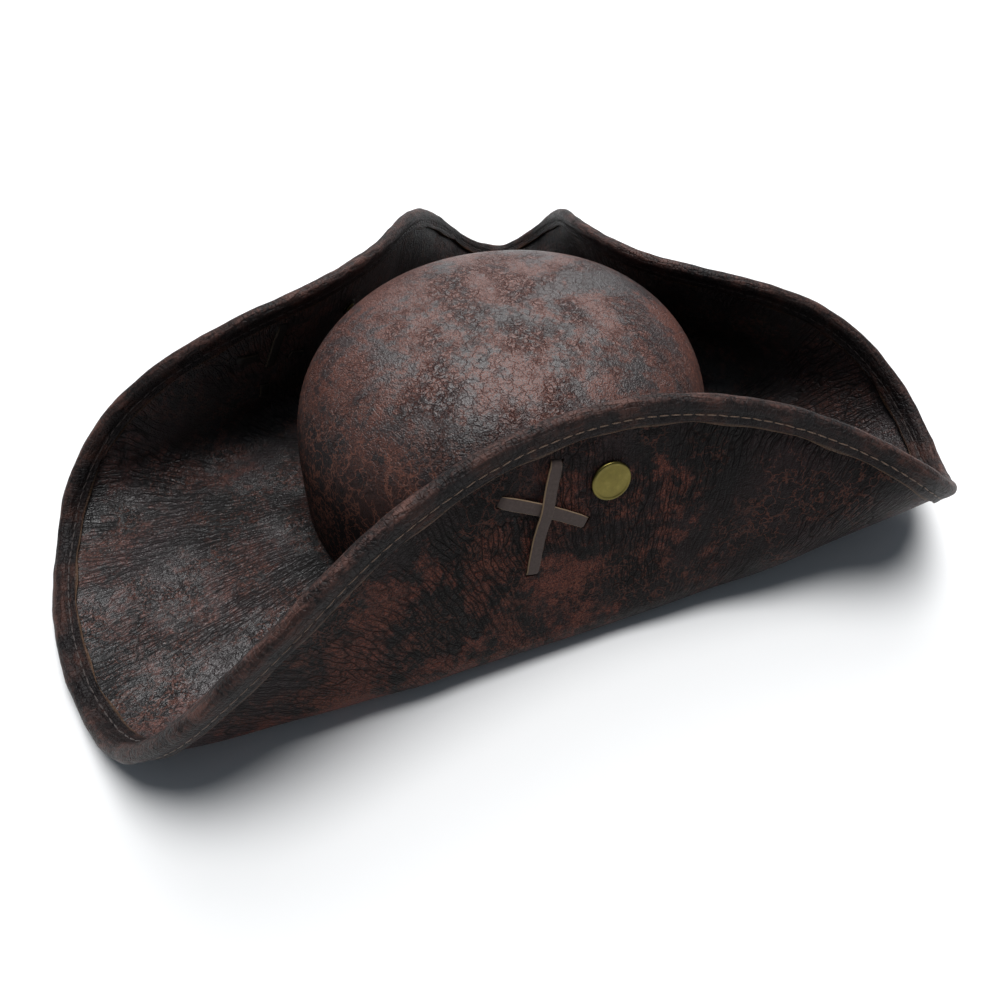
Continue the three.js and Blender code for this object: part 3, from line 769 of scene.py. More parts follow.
def stitches(name, tree, line, away, material, sizes):
    """A closed row of stitches along a line of points, as a plain mesh."""
    pitch, length, radius = sizes
    mesh = bpy.data.meshes.new(name + "_path")
    edges = [(i, (i + 1) % len(line)) for i in range(len(line))]
    mesh.from_pydata((line * MM).tolist(), edges, [])
    mesh.attributes.new("away", "FLOAT_VECTOR", "POINT").data.foreach_set("vector", away.ravel())
    path = bpy.data.objects.new(name + "_path", mesh)
    bpy.context.scene.collection.objects.link(path)
    row = path.modifiers.new("Stitches", "NODES")
    row.node_group = tree
    sockets = {s.name: s.identifier for s in tree.interface.items_tree if s.in_out == "INPUT"}
    row[sockets["Pitch"]] = pitch * MM
    row[sockets["Stitch length"]] = length * MM
    row[sockets["Thread radius"]] = radius * MM
    row[sockets["Thread"]] = material
    bpy.context.view_layer.update()
    graph = bpy.context.evaluated_depsgraph_get()
    made = bpy.data.meshes.new_from_object(path.evaluated_get(graph), depsgraph=graph)
    made.name = name
    obj = bpy.data.objects.new(name, made)
    bpy.context.scene.collection.objects.link(obj)
    bpy.data.objects.remove(path)
    return obj


def binding_stitches(name, side, tree, material):
    turn = round_turns(1440)
    reach = brim_width(turn) - STITCH_INSET
    up = brim_frame(turn, reach)[2]
    line = brim(turn, reach, side * (BINDING_OUTER - 0.4))
    return stitches(name, tree, line, up * side, material, BINDING_STITCH)


def seam_stitches(tree, material):
    turn = round_turns(720)
    inset = (BAND_INSET + BAND_WALL + SEAM_WIDTH) / 2
    flat = way_out(turn) * oval(turn, inset)[:, None]
    line = np.concatenate([flat, np.full((720, 1), CROWN_FOOT + CROWN_WALL + 0.15)], -1)
    up = np.broadcast_to([0.0, 0.0, 1.0], line.shape).copy()
    return stitches("seam_stitches", tree, line, up, material, SEAM_STITCH)


# ---------------------------------------------------------------- materials


def per_metre(size):
    """A pattern's scale from the size of its cells in millimetres."""
    return 1 / (size * MM)


def new_material(name, even):
    """A material with its Principled shader, whose even values are set on its own sockets."""
    material = bpy.data.materials.new(name)
    material.use_nodes = True
    tree = material.node_tree
    tree.nodes.clear()
    shader = add_node(tree, "ShaderNodeBsdfPrincipled", even)
    add_node(tree, "ShaderNodeOutputMaterial", {"Surface": shader})
    return material, tree, shader


def finish(tree, shader, colour, roughness, height, depth, strength=1.0):
    """Links a finish to its shader. depth is how deep its height goes, in millimetres."""
    bump = add_node(tree, "ShaderNodeBump", {"Strength": strength, "Distance": depth * MM, "Height": height})
    for name, source in (("Base Color", colour), ("Roughness", roughness), ("Normal", bump)):
        tree.links.new(output_of(source), shader.inputs[name])


def frayed(tree, at, cell, push, stretch=None):
    """A place pushed about by noise in cells of a size, so that what is drawn there gets torn edges.
    stretch draws it out along one way."""
    torn = add_node(
        tree, "ShaderNodeTexNoise", {"Vector": at, "Scale": per_metre(cell), "Detail": 3.0},
        noise_dimensions="2D",
    )
    if stretch:
        at = add_node(tree, "ShaderNodeVectorMath", {0: at, 1: stretch}, operation="MULTIPLY")
    pushed = {0: torn.outputs["Color"], 1: (push * MM, push * MM, 0), 2: at}
    return add_node(tree, "ShaderNodeVectorMath", pushed, operation="MULTIPLY_ADD")


def crackle(tree, at, cell, width):
    """Lines between torn cells of a size, each over a share of a cell."""
    edges = add_node(
        tree, "ShaderNodeTexVoronoi", {"Vector": at, "Scale": per_metre(cell)},
        voronoi_dimensions="2D", feature="DISTANCE_TO_EDGE",
    )
    return add_node(tree, "ShaderNodeValToRGB", {"Fac": edges}, stops=((0.0, 1.0), (width, 0.0)))


def fibres(tree, at, cell, width):
    """Long winding threads, where a noise passes its middle value."""
    drift = add_node(
        tree, "ShaderNodeTexNoise",
        {"Vector": at, "Scale": per_metre(cell), "Detail": 3.0, "Roughness": 0.6}, noise_dimensions="2D",
    )
    band = ((0.5 - width, 0.0), (0.5, 1.0), (0.5 + width, 0.0))
    return add_node(tree, "ShaderNodeValToRGB", {"Fac": drift}, stops=band)


def leather_wear(tree, at, drifted, speck, rust, darker_back_and_hem_shade):
    """How far the top coat is gone: torn clouds 20 to 60 mm across, broken up at 6 mm and by the specks.
    The last argument is how much less it is worn towards the back of the hat and along its hem; along the
    hem that darker coat is painted shade under the binding."""
    clouds = add_node(
        tree, "ShaderNodeTexNoise",
        {"Vector": drifted, "Scale": per_metre(41.7), "Detail": 5.0, "Roughness": 0.66},
        noise_dimensions="2D",
    )
    torn = add_node(
        tree, "ShaderNodeTexNoise",
        {"Vector": at, "Scale": per_metre(5.88), "Detail": 4.0, "Roughness": 0.7}, noise_dimensions="2D",
    )
    broad = add_node(tree, "ShaderNodeMath", {0: clouds, 1: 0.6}, operation="MULTIPLY")
    fine = add_node(tree, "ShaderNodeMath", {0: torn, 1: 0.4}, operation="MULTIPLY")
    wear = add_node(tree, "ShaderNodeMath", {0: broad, 1: fine}, operation="ADD")
    if darker_back_and_hem_shade:
        # Keeps the top coat darker towards the back of the hat.
        back = add_node(tree, "ShaderNodeSeparateXYZ", {0: at}).outputs["Y"]
        later = add_node(tree, "ShaderNodeMapRange", {"Value": back, "From Min": -0.11, "From Max": 0.02})
        grain = add_node(tree, "ShaderNodeAttribute", attribute_name="grain").outputs["Vector"]
        reach = add_node(tree, "ShaderNodeSeparateXYZ", {0: grain}).outputs["Y"]
        # Painted shade: the top coat is kept darker along the hem, under the binding.
        hem = add_node(tree, "ShaderNodeMapRange", {"Value": reach, "From Min": 0.08, "From Max": 0.1})
        black = add_node(tree, "ShaderNodeMath", {0: later, 1: hem}, operation="MAXIMUM")
        kept = add_node(tree, "ShaderNodeMath", {0: black, 1: -darker_back_and_hem_shade}, operation="MULTIPLY")
        wear = add_node(tree, "ShaderNodeMath", {0: wear, 1: kept}, operation="ADD")
    gone = ((0.475 - rust, 0.0), (0.555 - rust, 1.0))
    worn = add_node(tree, "ShaderNodeValToRGB", {"Fac": wear}, stops=gone)
    pitted = add_node(tree, "ShaderNodeValToRGB", {"Fac": speck}, stops=((0.36, 0.3), (0.6, 1.0)))
    return add_node(tree, "ShaderNodeMath", {0: worn, 1: pitted}, operation="MULTIPLY")


def leather_cracks(tree, at, patch, even):
    """Crackle lines between cells of 5 mm and 2.3 mm. even is how much shows outside the patches."""
    edge = frayed(tree, at, 3.33, 7.5)
    wide, narrow = crackle(tree, edge, 5.0, 0.11), crackle(tree, edge, 2.33, 0.15)
    shown = add_node(tree, "ShaderNodeMath", {0: patch, 1: even}, operation="MAXIMUM")
    faint = add_node(tree, "ShaderNodeMath", {0: patch, 1: 0.7}, operation="MULTIPLY")
    wide = add_node(tree, "ShaderNodeMath", {0: wide, 1: shown}, operation="MULTIPLY")
    narrow = add_node(tree, "ShaderNodeMath", {0: narrow, 1: faint}, operation="MULTIPLY")
    return add_node(tree, "ShaderNodeMath", {0: wide, 1: narrow}, operation="MAXIMUM")


def leather_creases(tree):
    """Creases that run out along the brim, 2.4 mm and 1.2 mm apart, in patches laid by a noise."""
    along = add_node(tree, "ShaderNodeAttribute", attribute_name="grain").outputs["Vector"]
    wide = crackle(tree, frayed(tree, along, 22.2, 6, (1.0, 0.1, 1.0)), 2.38, 0.16)
    narrow = crackle(tree, frayed(tree, along, 8.33, 2.5, (1.0, 0.2, 1.0)), 1.205, 0.18)
    faint = add_node(tree, "ShaderNodeMath", {0: narrow, 1: 0.6}, operation="MULTIPLY")
    lines = add_node(tree, "ShaderNodeMath", {0: wide, 1: faint}, operation="MAXIMUM")
    swing = add_node(
        tree, "ShaderNodeTexNoise", {"Vector": along, "Scale": per_metre(47.6), "Detail": 3.0},
        noise_dimensions="2D",
    )
    bent = add_node(tree, "ShaderNodeValToRGB", {"Fac": swing}, stops=((0.38, 0.1), (0.56, 1.0)))
    return add_node(tree, "ShaderNodeMath", {0: lines, 1: bent}, operation="MULTIPLY")


def leather_web(tree, height, patch):
    """Where the crown's wall is darkened with painted shade towards its foot, and where rust lines web it,
    under a height.
    """
    place = add_node(tree, "ShaderNodeTexCoord").outputs["Object"]
    z = add_node(tree, "ShaderNodeSeparateXYZ", {0: place}).outputs["Z"]
    above = add_node(tree, "ShaderNodeMath", {0: z, 1: per_metre(height)}, operation="MULTIPLY")
    # Mask of the painted shade towards the wall's foot.
    foot = add_node(tree, "ShaderNodeValToRGB", {"Fac": above}, stops=((0.46, 0.95), (1.0, 0.0)))
    low = add_node(tree, "ShaderNodeValToRGB", {"Fac": above}, stops=((0.75, 1.0), (1.0, 0.0)))
    faint = add_node(tree, "ShaderNodeMath", {0: patch, 1: 0.3}, operation="MULTIPLY")
    web = add_node(tree, "ShaderNodeMath", {0: low, 1: faint}, operation="MAXIMUM")
    return foot, add_node(tree, "ShaderNodeMath", {0: web, 1: 0.75}, operation="MULTIPLY")


def distressed_leather(
    name, coat, base, cracks, gloss, rust=0.0, darker_back_and_hem_shade=0.0, even=0.6, creased=False, web_height=0
):
    """Imitation leather, pressed and rub-finished: a thin charcoal top coat over rust-brown, worn
    through in clouds, crackled, pebbled all over, and creased where it bends, with painted shade darkening
    the creases. The coat keeps a soft gloss that cracks and worn spots lose. The pattern follows the sheet
    and grain attributes.
    coat and base are two colours each. Rust lines web the wall under web_height, and painted shade darkens
    the wall most at its foot.
    The finest lines are drawn 0.4 mm wide, coarser than they are, so that they show."""
    material, tree, shader = new_material(name, {"IOR": 1.5})
    at = add_node(tree, "ShaderNodeAttribute", attribute_name="sheet").outputs["Vector"]
    drifted = frayed(tree, at, 18.2, 14)
    speck = add_node(
        tree, "ShaderNodeTexNoise", {"Vector": at, "Scale": per_metre(0.667), "Detail": 2.0},
        noise_dimensions="2D",
    )
    patches = add_node(
        tree, "ShaderNodeTexNoise", {"Vector": at, "Scale": per_metre(23.8), "Detail": 3.0},
        noise_dimensions="2D",
    )
    patch = add_node(tree, "ShaderNodeValToRGB", {"Fac": patches}, stops=((0.42, 0.0), (0.58, 1.0)))
    worn = leather_wear(tree, at, drifted, speck, rust, darker_back_and_hem_shade)
    lines = leather_cracks(tree, at, patch, even)
    threads = {0: fibres(tree, at, 16.7, 0.018), 1: fibres(tree, at, 7.41, 0.026)}
    scribble = add_node(tree, "ShaderNodeMath", threads, operation="MAXIMUM")
    scratches = add_node(tree, "ShaderNodeMath", {0: scribble, 1: 0.08}, operation="MULTIPLY")
    dents = add_node(tree, "ShaderNodeMath", {0: lines, 1: scratches}, operation="MAXIMUM")

    smoke = add_node(
        tree, "ShaderNodeTexNoise",
        {"Vector": drifted, "Scale": per_metre(76.9), "Detail": 6.0, "Roughness": 0.62},
        noise_dimensions="2D",
    )
    soot = add_node(tree, "ShaderNodeValToRGB", {"Fac": smoke}, stops=((0.42, 0.0), (0.6, 1.0)))
    coats = {0: soot, 6: linear(coat[0]), 7: linear(coat[1])}
    top_coat = add_node(tree, "ShaderNodeMix", coats, data_type="RGBA")
    bases = {0: speck, 6: linear(base[0]), 7: linear(base[1])}
    body = add_node(tree, "ShaderNodeMix", bases, data_type="RGBA")
    colour = add_node(tree, "ShaderNodeMix", {0: worn, 6: top_coat, 7: body}, data_type="RGBA")
    ink = add_node(tree, "ShaderNodeMath", {0: lines, 1: 0.9}, operation="MULTIPLY")
    colour = add_node(tree, "ShaderNodeMix", {0: ink, 6: colour, 7: linear(cracks)}, data_type="RGBA")
    if web_height:
        foot, web = leather_web(tree, web_height, patch)
        # Painted shade: the wall is darkened to near black towards its foot.
        colour = add_node(tree, "ShaderNodeMix", {0: foot, 6: colour, 7: linear("0c0708")}, data_type="RGBA")
    else:
        web = add_node(tree, "ShaderNodeMath", {0: patch, 1: 0.4}, operation="MULTIPLY")
    rusty = add_node(tree, "ShaderNodeMath", {0: scribble, 1: web}, operation="MULTIPLY")
    rust_line = linear("82503f" if web_height else "7c4a3a")
    colour = add_node(tree, "ShaderNodeMix", {0: rusty, 6: colour, 7: rust_line}, data_type="RGBA")
    if creased:
        creases = leather_creases(tree)
        crease_shade = add_node(tree, "ShaderNodeMath", {0: creases, 1: 0.9}, operation="MULTIPLY")
        # Painted shade: the creases are darkened towards near black.
        colour = add_node(
            tree, "ShaderNodeMix", {0: crease_shade, 6: colour, 7: linear("080505")}, data_type="RGBA"
        )
        shallow = add_node(tree, "ShaderNodeMath", {0: dents, 1: 0.7}, operation="MULTIPLY")
        dents = add_node(tree, "ShaderNodeMath", {0: shallow, 1: creases}, operation="MAXIMUM")

    rubbed = add_node(tree, "ShaderNodeMath", {0: worn, 1: 0.25}, operation="MULTIPLY")
    broken = add_node(tree, "ShaderNodeMath", {0: dents, 1: 0.6}, operation="MULTIPLY")
    dull = add_node(tree, "ShaderNodeMath", {0: rubbed, 1: broken}, operation="MAXIMUM")
    if web_height:
        duller_at_foot = add_node(tree, "ShaderNodeMath", {0: foot, 1: 0.9}, operation="MULTIPLY")
        dull = add_node(tree, "ShaderNodeMath", {0: dull, 1: duller_at_foot}, operation="MAXIMUM")
    roughness = add_node(tree, "ShaderNodeValToRGB", {"Fac": dull}, stops=((0.0, 0.4), (1.0, 0.72)))
    sheen = add_node(tree, "ShaderNodeValToRGB", {"Fac": dull}, stops=((0.0, gloss), (1.0, 0.05)))
    tree.links.new(output_of(sheen), shader.inputs["Specular IOR Level"])
    pebbles = add_node(
        tree, "ShaderNodeTexNoise",
        {"Vector": at, "Scale": per_metre(1.61), "Detail": 3.0, "Roughness": 0.6}, noise_dimensions="2D",
    )
    grain = add_node(tree, "ShaderNodeMath", {0: speck, 1: pebbles}, operation="ADD")
    grain = add_node(tree, "ShaderNodeMath", {0: grain, 1: 0.6}, operation="MULTIPLY")
    sunk = add_node(tree, "ShaderNodeMath", {0: dents, 1: -1.0}, operation="MULTIPLY")
    height = add_node(tree, "ShaderNodeMath", {0: grain, 1: sunk}, operation="ADD")
    finish(tree, shader, colour, roughness, height, 0.5)
    return material


def binding_leather():
    """The same leather cut in a strip and turned over the edge: rubbed pale and pinkish on the roll, partly
    wear and partly a painted highlight along its outer crest, with its tan backing just showing at the raw
    cut edge."""
    material, tree, shader = new_material("turned binding leather", {"IOR": 1.5, "Specular IOR Level": 0.2})
    grain = add_node(tree, "ShaderNodeAttribute", attribute_name="grain").outputs["Vector"]
    raw = add_node(tree, "ShaderNodeAttribute", attribute_name="raw").outputs["Fac"]
    rubbed = add_node(tree, "ShaderNodeAttribute", attribute_name="rubbed").outputs["Fac"]
    clouds = add_node(
        tree, "ShaderNodeTexNoise",
        {"Vector": grain, "Scale": per_metre(16.7), "Detail": 6.0, "Roughness": 0.65},
        noise_dimensions="2D",
    )
    fine = add_node(
        tree, "ShaderNodeTexNoise",
        {"Vector": grain, "Scale": per_metre(1.25), "Detail": 4.0, "Roughness": 0.6}, noise_dimensions="2D",
    )
    lengthwise = add_node(
        tree, "ShaderNodeTexNoise",
        {"Vector": frayed(tree, grain, 11.1, 1, (0.12, 1.0, 1.0)), "Scale": per_metre(1.11), "Detail": 3.0},
        noise_dimensions="2D",
    )
    browns = ((0.38, "100b0c"), (0.52, "1f1514"), (0.64, "36201a"))
    body = add_node(tree, "ShaderNodeValToRGB", {"Fac": clouds}, stops=browns)
    broad = add_node(tree, "ShaderNodeMath", {0: clouds, 1: 0.5}, operation="MULTIPLY")
    close = add_node(tree, "ShaderNodeMath", {0: fine, 1: 0.5}, operation="MULTIPLY")
    both = add_node(tree, "ShaderNodeMath", {0: broad, 1: close}, operation="ADD")
    chafed_and_highlit = add_node(tree, "ShaderNodeValToRGB", {"Fac": both}, stops=((0.4, 0.0), (0.6, 1.0)))
    streaks = add_node(tree, "ShaderNodeValToRGB", {"Fac": lengthwise}, stops=((0.42, 1.0), (0.56, 0.0)))
    # Painted highlight, partly rubbed wear: a paler pink laid strongest on the outer crest of the roll.
    roll = add_node(tree, "ShaderNodeMath", {0: rubbed, 1: chafed_and_highlit}, operation="MULTIPLY")
    colour = body
    for share, strength, hue in ((roll, 0.65, "644740"), (streaks, 0.65, "0c0808"), (raw, 0.6, "7d6049")):
        laid = add_node(tree, "ShaderNodeMath", {0: share, 1: strength}, operation="MULTIPLY")
        colour = add_node(tree, "ShaderNodeMix", {0: laid, 6: colour, 7: linear(hue)}, data_type="RGBA")
    roughness = add_node(tree, "ShaderNodeValToRGB", {"Fac": fine}, stops=((0.3, 0.42), (0.75, 0.6)))
    cells = add_node(
        tree, "ShaderNodeTexVoronoi", {"Vector": frayed(tree, grain, 3.33, 2), "Scale": per_metre(1.92)},
        voronoi_dimensions="2D", feature="DISTANCE_TO_EDGE",
    )
    wrinkles = add_node(tree, "ShaderNodeValToRGB", {"Fac": cells}, stops=((0.0, 0.0), (0.12, 1.0)))
    raised = add_node(tree, "ShaderNodeMath", {0: wrinkles, 1: 0.5}, operation="MULTIPLY")
    height = add_node(tree, "ShaderNodeMath", {0: raised, 1: fine}, operation="ADD")
    sunk = add_node(tree, "ShaderNodeMath", {0: streaks, 1: -0.6}, operation="MULTIPLY")
    height = add_node(tree, "ShaderNodeMath", {0: height, 1: sunk}, operation="ADD")
    finish(tree, shader, colour, roughness, height, 0.4)
    return material


def lace_leather():
    """Flat cut lace: matte taupe skin with a paler tan cut edge, darkened with painted shade where it lies
    inside the flap.
    """
    material, tree, shader = new_material("cut leather lace", {"IOR": 1.45, "Specular IOR Level": 0.3})
    fibre = add_node(tree, "ShaderNodeAttribute", attribute_name="fibre").outputs["Vector"]
    edge = add_node(tree, "ShaderNodeAttribute", attribute_name="cut_edge").outputs["Fac"]
    shaded = add_node(tree, "ShaderNodeAttribute", attribute_name="shaded").outputs["Fac"]
    nap = add_node(
        tree, "ShaderNodeTexNoise",
        {"Vector": fibre, "Scale": per_metre(1.11), "Detail": 4.0, "Roughness": 0.7},
    )
    taupes = ((0.3, "3f3532"), (0.55, "4b403c"), (0.75, "574a46"))
    colour = add_node(tree, "ShaderNodeValToRGB", {"Fac": nap}, stops=taupes)
    # Painted shade: the parts of the lace that lie inside the flap are darkened.
    for share, strength, hue in ((edge, 0.8, "9c8468"), (shaded, 0.85, "15110f")):
        laid = add_node(tree, "ShaderNodeMath", {0: share, 1: strength}, operation="MULTIPLY")
        colour = add_node(tree, "ShaderNodeMix", {0: laid, 6: colour, 7: linear(hue)}, data_type="RGBA")
    roughness = add_node(tree, "ShaderNodeValToRGB", {"Fac": nap}, stops=((0.3, 0.68), (0.8, 0.85)))
    finish(tree, shader, colour, roughness, nap, 0.2, 0.5)
    return material


def brass(name, deep, middle, pale):
    """Stamped and tumbled brass, gone a little green-gold, with fine rubbing marks."""
    material, tree, shader = new_material(name, {"Metallic": 1.0})
    place = add_node(tree, "ShaderNodeTexCoord").outputs["Object"]
    haze = add_node(
        tree, "ShaderNodeTexNoise",
        {"Vector": place, "Scale": per_metre(4.17), "Detail": 5.0, "Roughness": 0.6},
    )
    marks = add_node(tree, "ShaderNodeTexNoise", {"Vector": place, "Scale": per_metre(0.385), "Detail": 2.0})
    golds = ((0.3, deep), (0.55, middle), (0.75, pale))
    colour = add_node(tree, "ShaderNodeValToRGB", {"Fac": haze}, stops=golds)
    rubbed = add_node(tree, "ShaderNodeMath", {0: haze, 1: marks}, operation="MULTIPLY")
    roughness = add_node(tree, "ShaderNodeValToRGB", {"Fac": rubbed}, stops=((0.1, 0.3), (0.45, 0.46)))
    finish(tree, shader, colour, roughness, marks, 0.05, 0.2)
    return material


def wire_steel():
    """Drawn steel wire: bright, with faint draw lines."""
    material, tree, shader = new_material("drawn steel wire", {"Metallic": 1.0})
    place = add_node(tree, "ShaderNodeTexCoord").outputs["Object"]
    lines = add_node(tree, "ShaderNodeTexNoise", {"Vector": place, "Scale": per_metre(0.667), "Detail": 3.0})
    colour = add_node(tree, "ShaderNodeValToRGB", {"Fac": lines}, stops=((0.3, "8c8c8a"), (0.7, "a8a8a6")))
    roughness = add_node(tree, "ShaderNodeValToRGB", {"Fac": lines}, stops=((0.3, 0.28), (0.7, 0.42)))
    tree.links.new(output_of(colour), shader.inputs["Base Color"])
    tree.links.new(output_of(roughness), shader.inputs["Roughness"])
    return material


def sewing_thread(name, pale, deep):
    """Bonded polyester thread: soft sheen with a fine twist, 0.7 mm long."""
    material, tree, shader = new_material(name, {"IOR": 1.5, "Sheen Weight": 0.2})
    place = add_node(tree, "ShaderNodeTexCoord").outputs["Object"]
    twist = add_node(
        tree, "ShaderNodeTexWave",
        {"Vector": place, "Scale": math.pi / 5 * per_metre(0.698), "Distortion": 3.0, "Detail": 2.0},
        bands_direction="DIAGONAL",
    ).outputs["Fac"]
    colour = add_node(tree, "ShaderNodeValToRGB", {"Fac": twist}, stops=((0.2, deep), (0.8, pale)))
    roughness = add_node(tree, "ShaderNodeValToRGB", {"Fac": twist}, stops=((0.0, 0.75), (1.0, 0.55)))
    finish(tree, shader, colour, roughness, twist, 0.1, 0.5)
    return material


def woven_cloth(name, pale, deep, pitch):
    """Plain-woven lining cloth, with threads a pitch in millimetres apart."""
    material, tree, shader = new_material(name, {"IOR": 1.45, "Sheen Weight": 0.25})
    place = add_node(tree, "ShaderNodeTexCoord").outputs["Object"]
    threads = {"Vector": place, "Scale": math.pi / 10 * per_metre(pitch)}
    weft = add_node(tree, "ShaderNodeTexWave", threads, bands_direction="Z").outputs["Fac"]
    warp = add_node(tree, "ShaderNodeTexWave", threads, bands_direction="X").outputs["Fac"]
    weave = add_node(tree, "ShaderNodeMath", {0: weft, 1: warp}, operation="MULTIPLY")
    fuzz = add_node(tree, "ShaderNodeTexNoise", {"Vector": place, "Scale": per_metre(11.1), "Detail": 5.0})
    knots = add_node(tree, "ShaderNodeMath", {0: weave, 1: 0.6}, operation="MULTIPLY")
    bloom = add_node(tree, "ShaderNodeMath", {0: fuzz, 1: 0.4}, operation="MULTIPLY")
    shade = add_node(tree, "ShaderNodeMath", {0: knots, 1: bloom}, operation="ADD")
    colour = add_node(tree, "ShaderNodeValToRGB", {"Fac": shade}, stops=((0.1, deep), (0.8, pale)))
    roughness = add_node(tree, "ShaderNodeValToRGB", {"Fac": fuzz}, stops=((0.3, 0.75), (0.7, 0.9)))
    finish(tree, shader, colour, roughness, weave, 0.15, 0.5)
    return material


def band_leather():
    """Smooth glued head-band leather, dark, with a fine grain."""
    material, tree, shader = new_material("head-band leather", {"IOR": 1.5})
    place = add_node(tree, "ShaderNodeTexCoord").outputs["Object"]
    stain = add_node(tree, "ShaderNodeTexNoise", {"Vector": place, "Scale": per_metre(25), "Detail": 5.0})
    grain = add_node(
        tree, "ShaderNodeTexVoronoi", {"Vector": place, "Scale": per_metre(1.11)},
        feature="DISTANCE_TO_EDGE",
    )
    colour = add_node(tree, "ShaderNodeValToRGB", {"Fac": stain}, stops=((0.3, "1f1614"), (0.7, "332420")))
    roughness = add_node(tree, "ShaderNodeValToRGB", {"Fac": stain}, stops=((0.3, 0.5), (0.7, 0.65)))
    height = add_node(tree, "ShaderNodeValToRGB", {"Fac": grain}, stops=((0.0, 0.0), (0.25, 1.0)))
    finish(tree, shader, colour, roughness, height, 0.2, 0.5)
    return material


# ---------------------------------------------------------------- studio


def studio_floor():
    """A plain pale floor under the hat."""
    mesh = bpy.data.meshes.new("floor")
    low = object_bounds()[0].z
    corners = [(-6, -6, low), (6, -6, low), (6, 6, low), (-6, 6, low)]
    mesh.from_pydata(corners, [], [(0, 1, 2, 3)])
    material, _, _ = new_material(
        "matte white floor", {"Base Color": linear("ececec"), "Roughness": 0.9, "Specular IOR Level": 0.1}
    )
    mesh.materials.append(material)
    floor = bpy.data.objects.new("floor", mesh)
    bpy.context.scene.collection.objects.link(floor)


def soft_light(name, place, target, width, power):
    """A round soft box, in metres and watts, turned to a target."""
    lamp = bpy.data.lights.new(name, "AREA")
    lamp.shape = "DISK"
    lamp.size = width
    lamp.energy = power
    made = bpy.data.objects.new(name, lamp)
    made.location = place
    made.rotation_mode = "QUATERNION"
    made.rotation_quaternion = (Vector(target) - Vector(place)).to_track_quat("-Z", "Y")
    bpy.context.scene.collection.objects.link(made)


def studio():
    """A soft box overhead and one behind, in a pale room that fills the shadows a little."""
    studio_floor()
    soft_light("overhead box", (-0.12, 0.29, 3.0), (0, 0, 0), 1.8, 100)
    soft_light("back box", (-0.97, 0.93, 1.35), (0, 0, 0.05), 1.8, 26)
    world = bpy.data.worlds.new("pale room")
    world.use_nodes = True
    tree = world.node_tree
    tree.nodes.clear()
    seen = add_node(tree, "ShaderNodeBackground", {"Color": (1, 1, 1, 1), "Strength": 1.0})
    cast = add_node(tree, "ShaderNodeBackground", {"Color": (0.75, 0.87, 1, 1), "Strength": 0.14})
    ray = add_node(tree, "ShaderNodeLightPath")
    blend = add_node(tree, "ShaderNodeMixShader", {0: ray.outputs["Is Camera Ray"], 1: cast, 2: seen})
    add_node(tree, "ShaderNodeOutputWorld", {"Surface": blend})
    bpy.context.scene.world = world
    bpy.context.scene.view_settings.view_transform = "Standard"


def camera():
    """Looks down at the hat over its left flap, from close by, with a wide lens."""
    azimuth, elevation, distance = math.radians(46.52), math.radians(38.7), 0.3589
    level = math.cos(elevation)
    back = Vector((math.sin(azimuth) * level, -math.cos(azimuth) * level, math.sin(elevation)))
    right = Vector((math.cos(azimuth), math.sin(azimuth), 0))
    above = back.cross(right)
    aim = back + above * math.tan(math.radians(3.62)) + right * math.tan(math.radians(0.32))
    lens = bpy.data.cameras.new("camera")
    lens.sensor_width = 36
    lens.lens = 0.738 * 36
    lens.shift_y = -0.05
    lens.clip_start = 0.01
    made = bpy.data.objects.new("camera", lens)
    made.location = Vector((0, 0, 0.04)) + back * distance
    made.rotation_mode = "QUATERNION"
    made.rotation_quaternion = (-aim).to_track_quat("-Z", "Y") @ Quaternion((0, 0, 1), math.radians(0.21))
    bpy.context.scene.collection.objects.link(made)
    bpy.context.scene.camera = made


# ---------------------------------------------------------------- the hat


def finish_piece(obj, slot, *nodes):
    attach(obj, "root")
    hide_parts(*nodes)


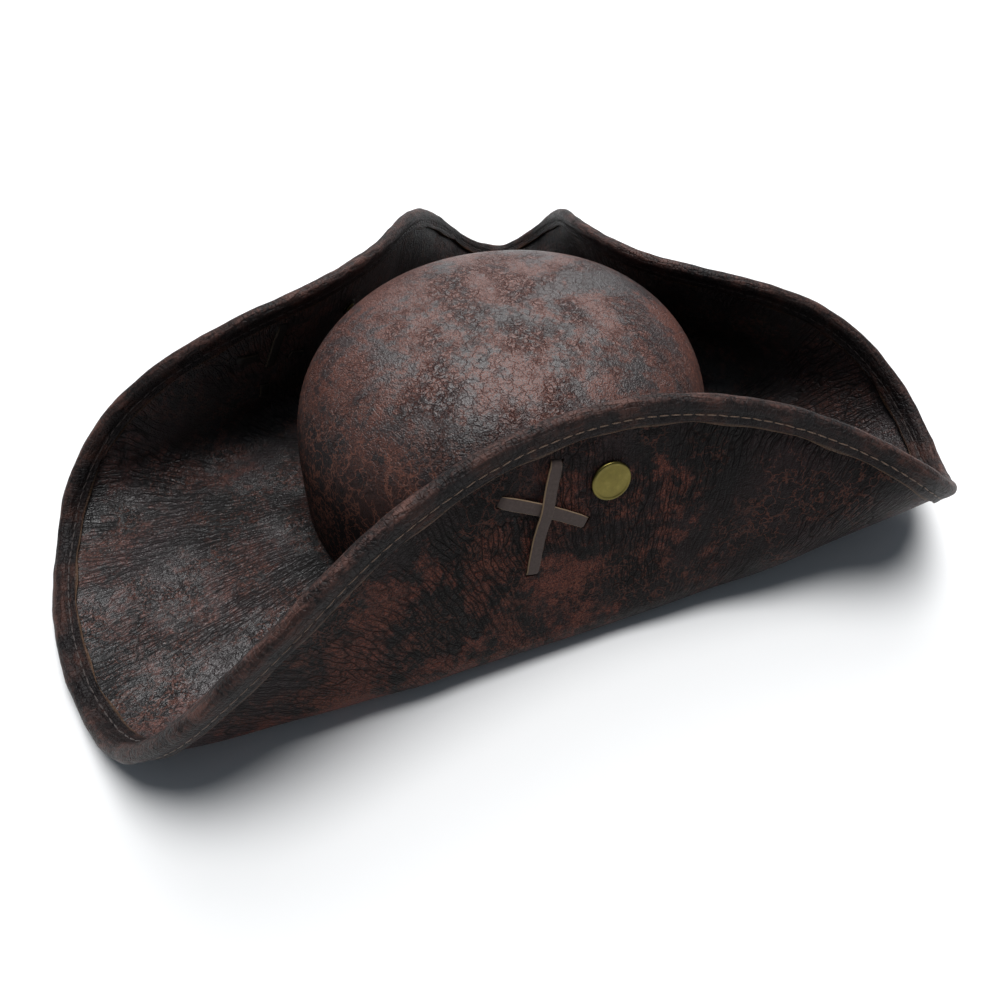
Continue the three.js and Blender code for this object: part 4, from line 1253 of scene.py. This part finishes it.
def build():
    dark_coat, rust_base = ("100c0d", "2b1f20"), ("3c221e", "643f38")
    upper_leather = distressed_leather(
        "distressed upper brim leather", dark_coat, rust_base, "0d0807", 0.75, rust=-0.035, creased=True
    )
    under_leather = distressed_leather(
        "distressed under brim leather", ("0d0808", "241617"), ("48211a", "7a4638"), "0a0505", 0.12,
        rust=0.035, darker_back_and_hem_shade=0.16, creased=True,
    )
    crown_leather = distressed_leather(
        "distressed crown leather", ("1e1515", "352625"), ("4a271e", "714234"), "35110a", 0.66,
        rust=0.02, even=0.4, web_height=87,
    )
    taupe, steel, head = lace_leather(), wire_steel(), band_leather()
    gold = brass("tumbled brass", "5f5730", "6c6336", "7c7242")
    # A darker copy of the brass for the burrs inside the flaps: aged, and darker still as painted shade.
    aged_shaded_brass = brass("aged brass with painted shade", "2c2a20", "38352a", "454234")
    dark_thread = sewing_thread("dark bonded thread", "3a2c27", "1a1210")
    tan_thread = sewing_thread("tan bonded thread", "7d6450", "4d3b30")
    cloth = woven_cloth("black lining cloth", "26211f", "0e0c0c", 0.628)
    felt = woven_cloth("stiffened interlining", "5b5653", "3a3634", 0.754)

    half = PLIES / 2
    core = CORE_WALL / 2
    cutter = slot_cutter()
    upper = brim_layer("upper_leather", core + GAP, half, upper_leather, 540, 52)
    finish_piece(cut_slots(upper, cutter), "leather", "brim_upper_skin")
    under = brim_layer("under_leather", -half, -core - GAP, under_leather, 540, 52)
    finish_piece(cut_slots(under, cutter), "leather", "brim_under_skin")
    middle = brim_layer("interlining", -core, core, felt, 240, 24)
    finish_piece(cut_slots(middle, cutter), "core", "brim_core")
    bpy.data.objects.remove(cutter)
    finish_piece(edge_binding(binding_leather()), "binding", "edge_binding")
    finish_piece(edge_wire(steel), "steel", "brim_wire")
    finish_piece(wire_sleeve(steel), "steel", "brim_wire_sleeve")
    finish_piece(crown(crown_leather), "leather", "crown_shell")
    finish_piece(lining(cloth), "lining", "crown_lining")
    finish_piece(sweatband(head), "band", "sweatband")
    finish_piece(band_tape(head), "band", "sweatband_tape")

    tree = stitch_tree()
    finish_piece(binding_stitches("upper_stitches", 1, tree, dark_thread), "thread", "binding_thread_top")
    finish_piece(binding_stitches("under_stitches", -1, tree, tan_thread), "thread", "binding_thread_under")
    finish_piece(seam_stitches(tree, dark_thread), "thread", "crown_seam_thread")

    for side, place, mirror in (("left", LEFT_LACE_TURN, 1), ("right", RIGHT_LACE_TURN, -1)):
        for arm, sizes, hump in (("short", SHORT_LACE, 0), ("long", LONG_LACE, LACE_WALL + 0.3)):
            strap = lace(f"{arm}_lace_{side}", sizes, place, mirror, hump, taupe)
            finish_piece(strap, "lace", f"{side}_{arm}_lace")
    for side, turn in (("left", LEFT_RIVET_TURN), ("right", RIGHT_RIVET_TURN)):
        finish_piece(rivet(f"rivet_{side}", turn, gold), "brass", f"{side}_rivet")
        finish_piece(burr(f"burr_{side}", turn, aged_shaded_brass), "brass", f"{side}_burr")


build()
camera()
studio()
bpy.context.view_layer.update()
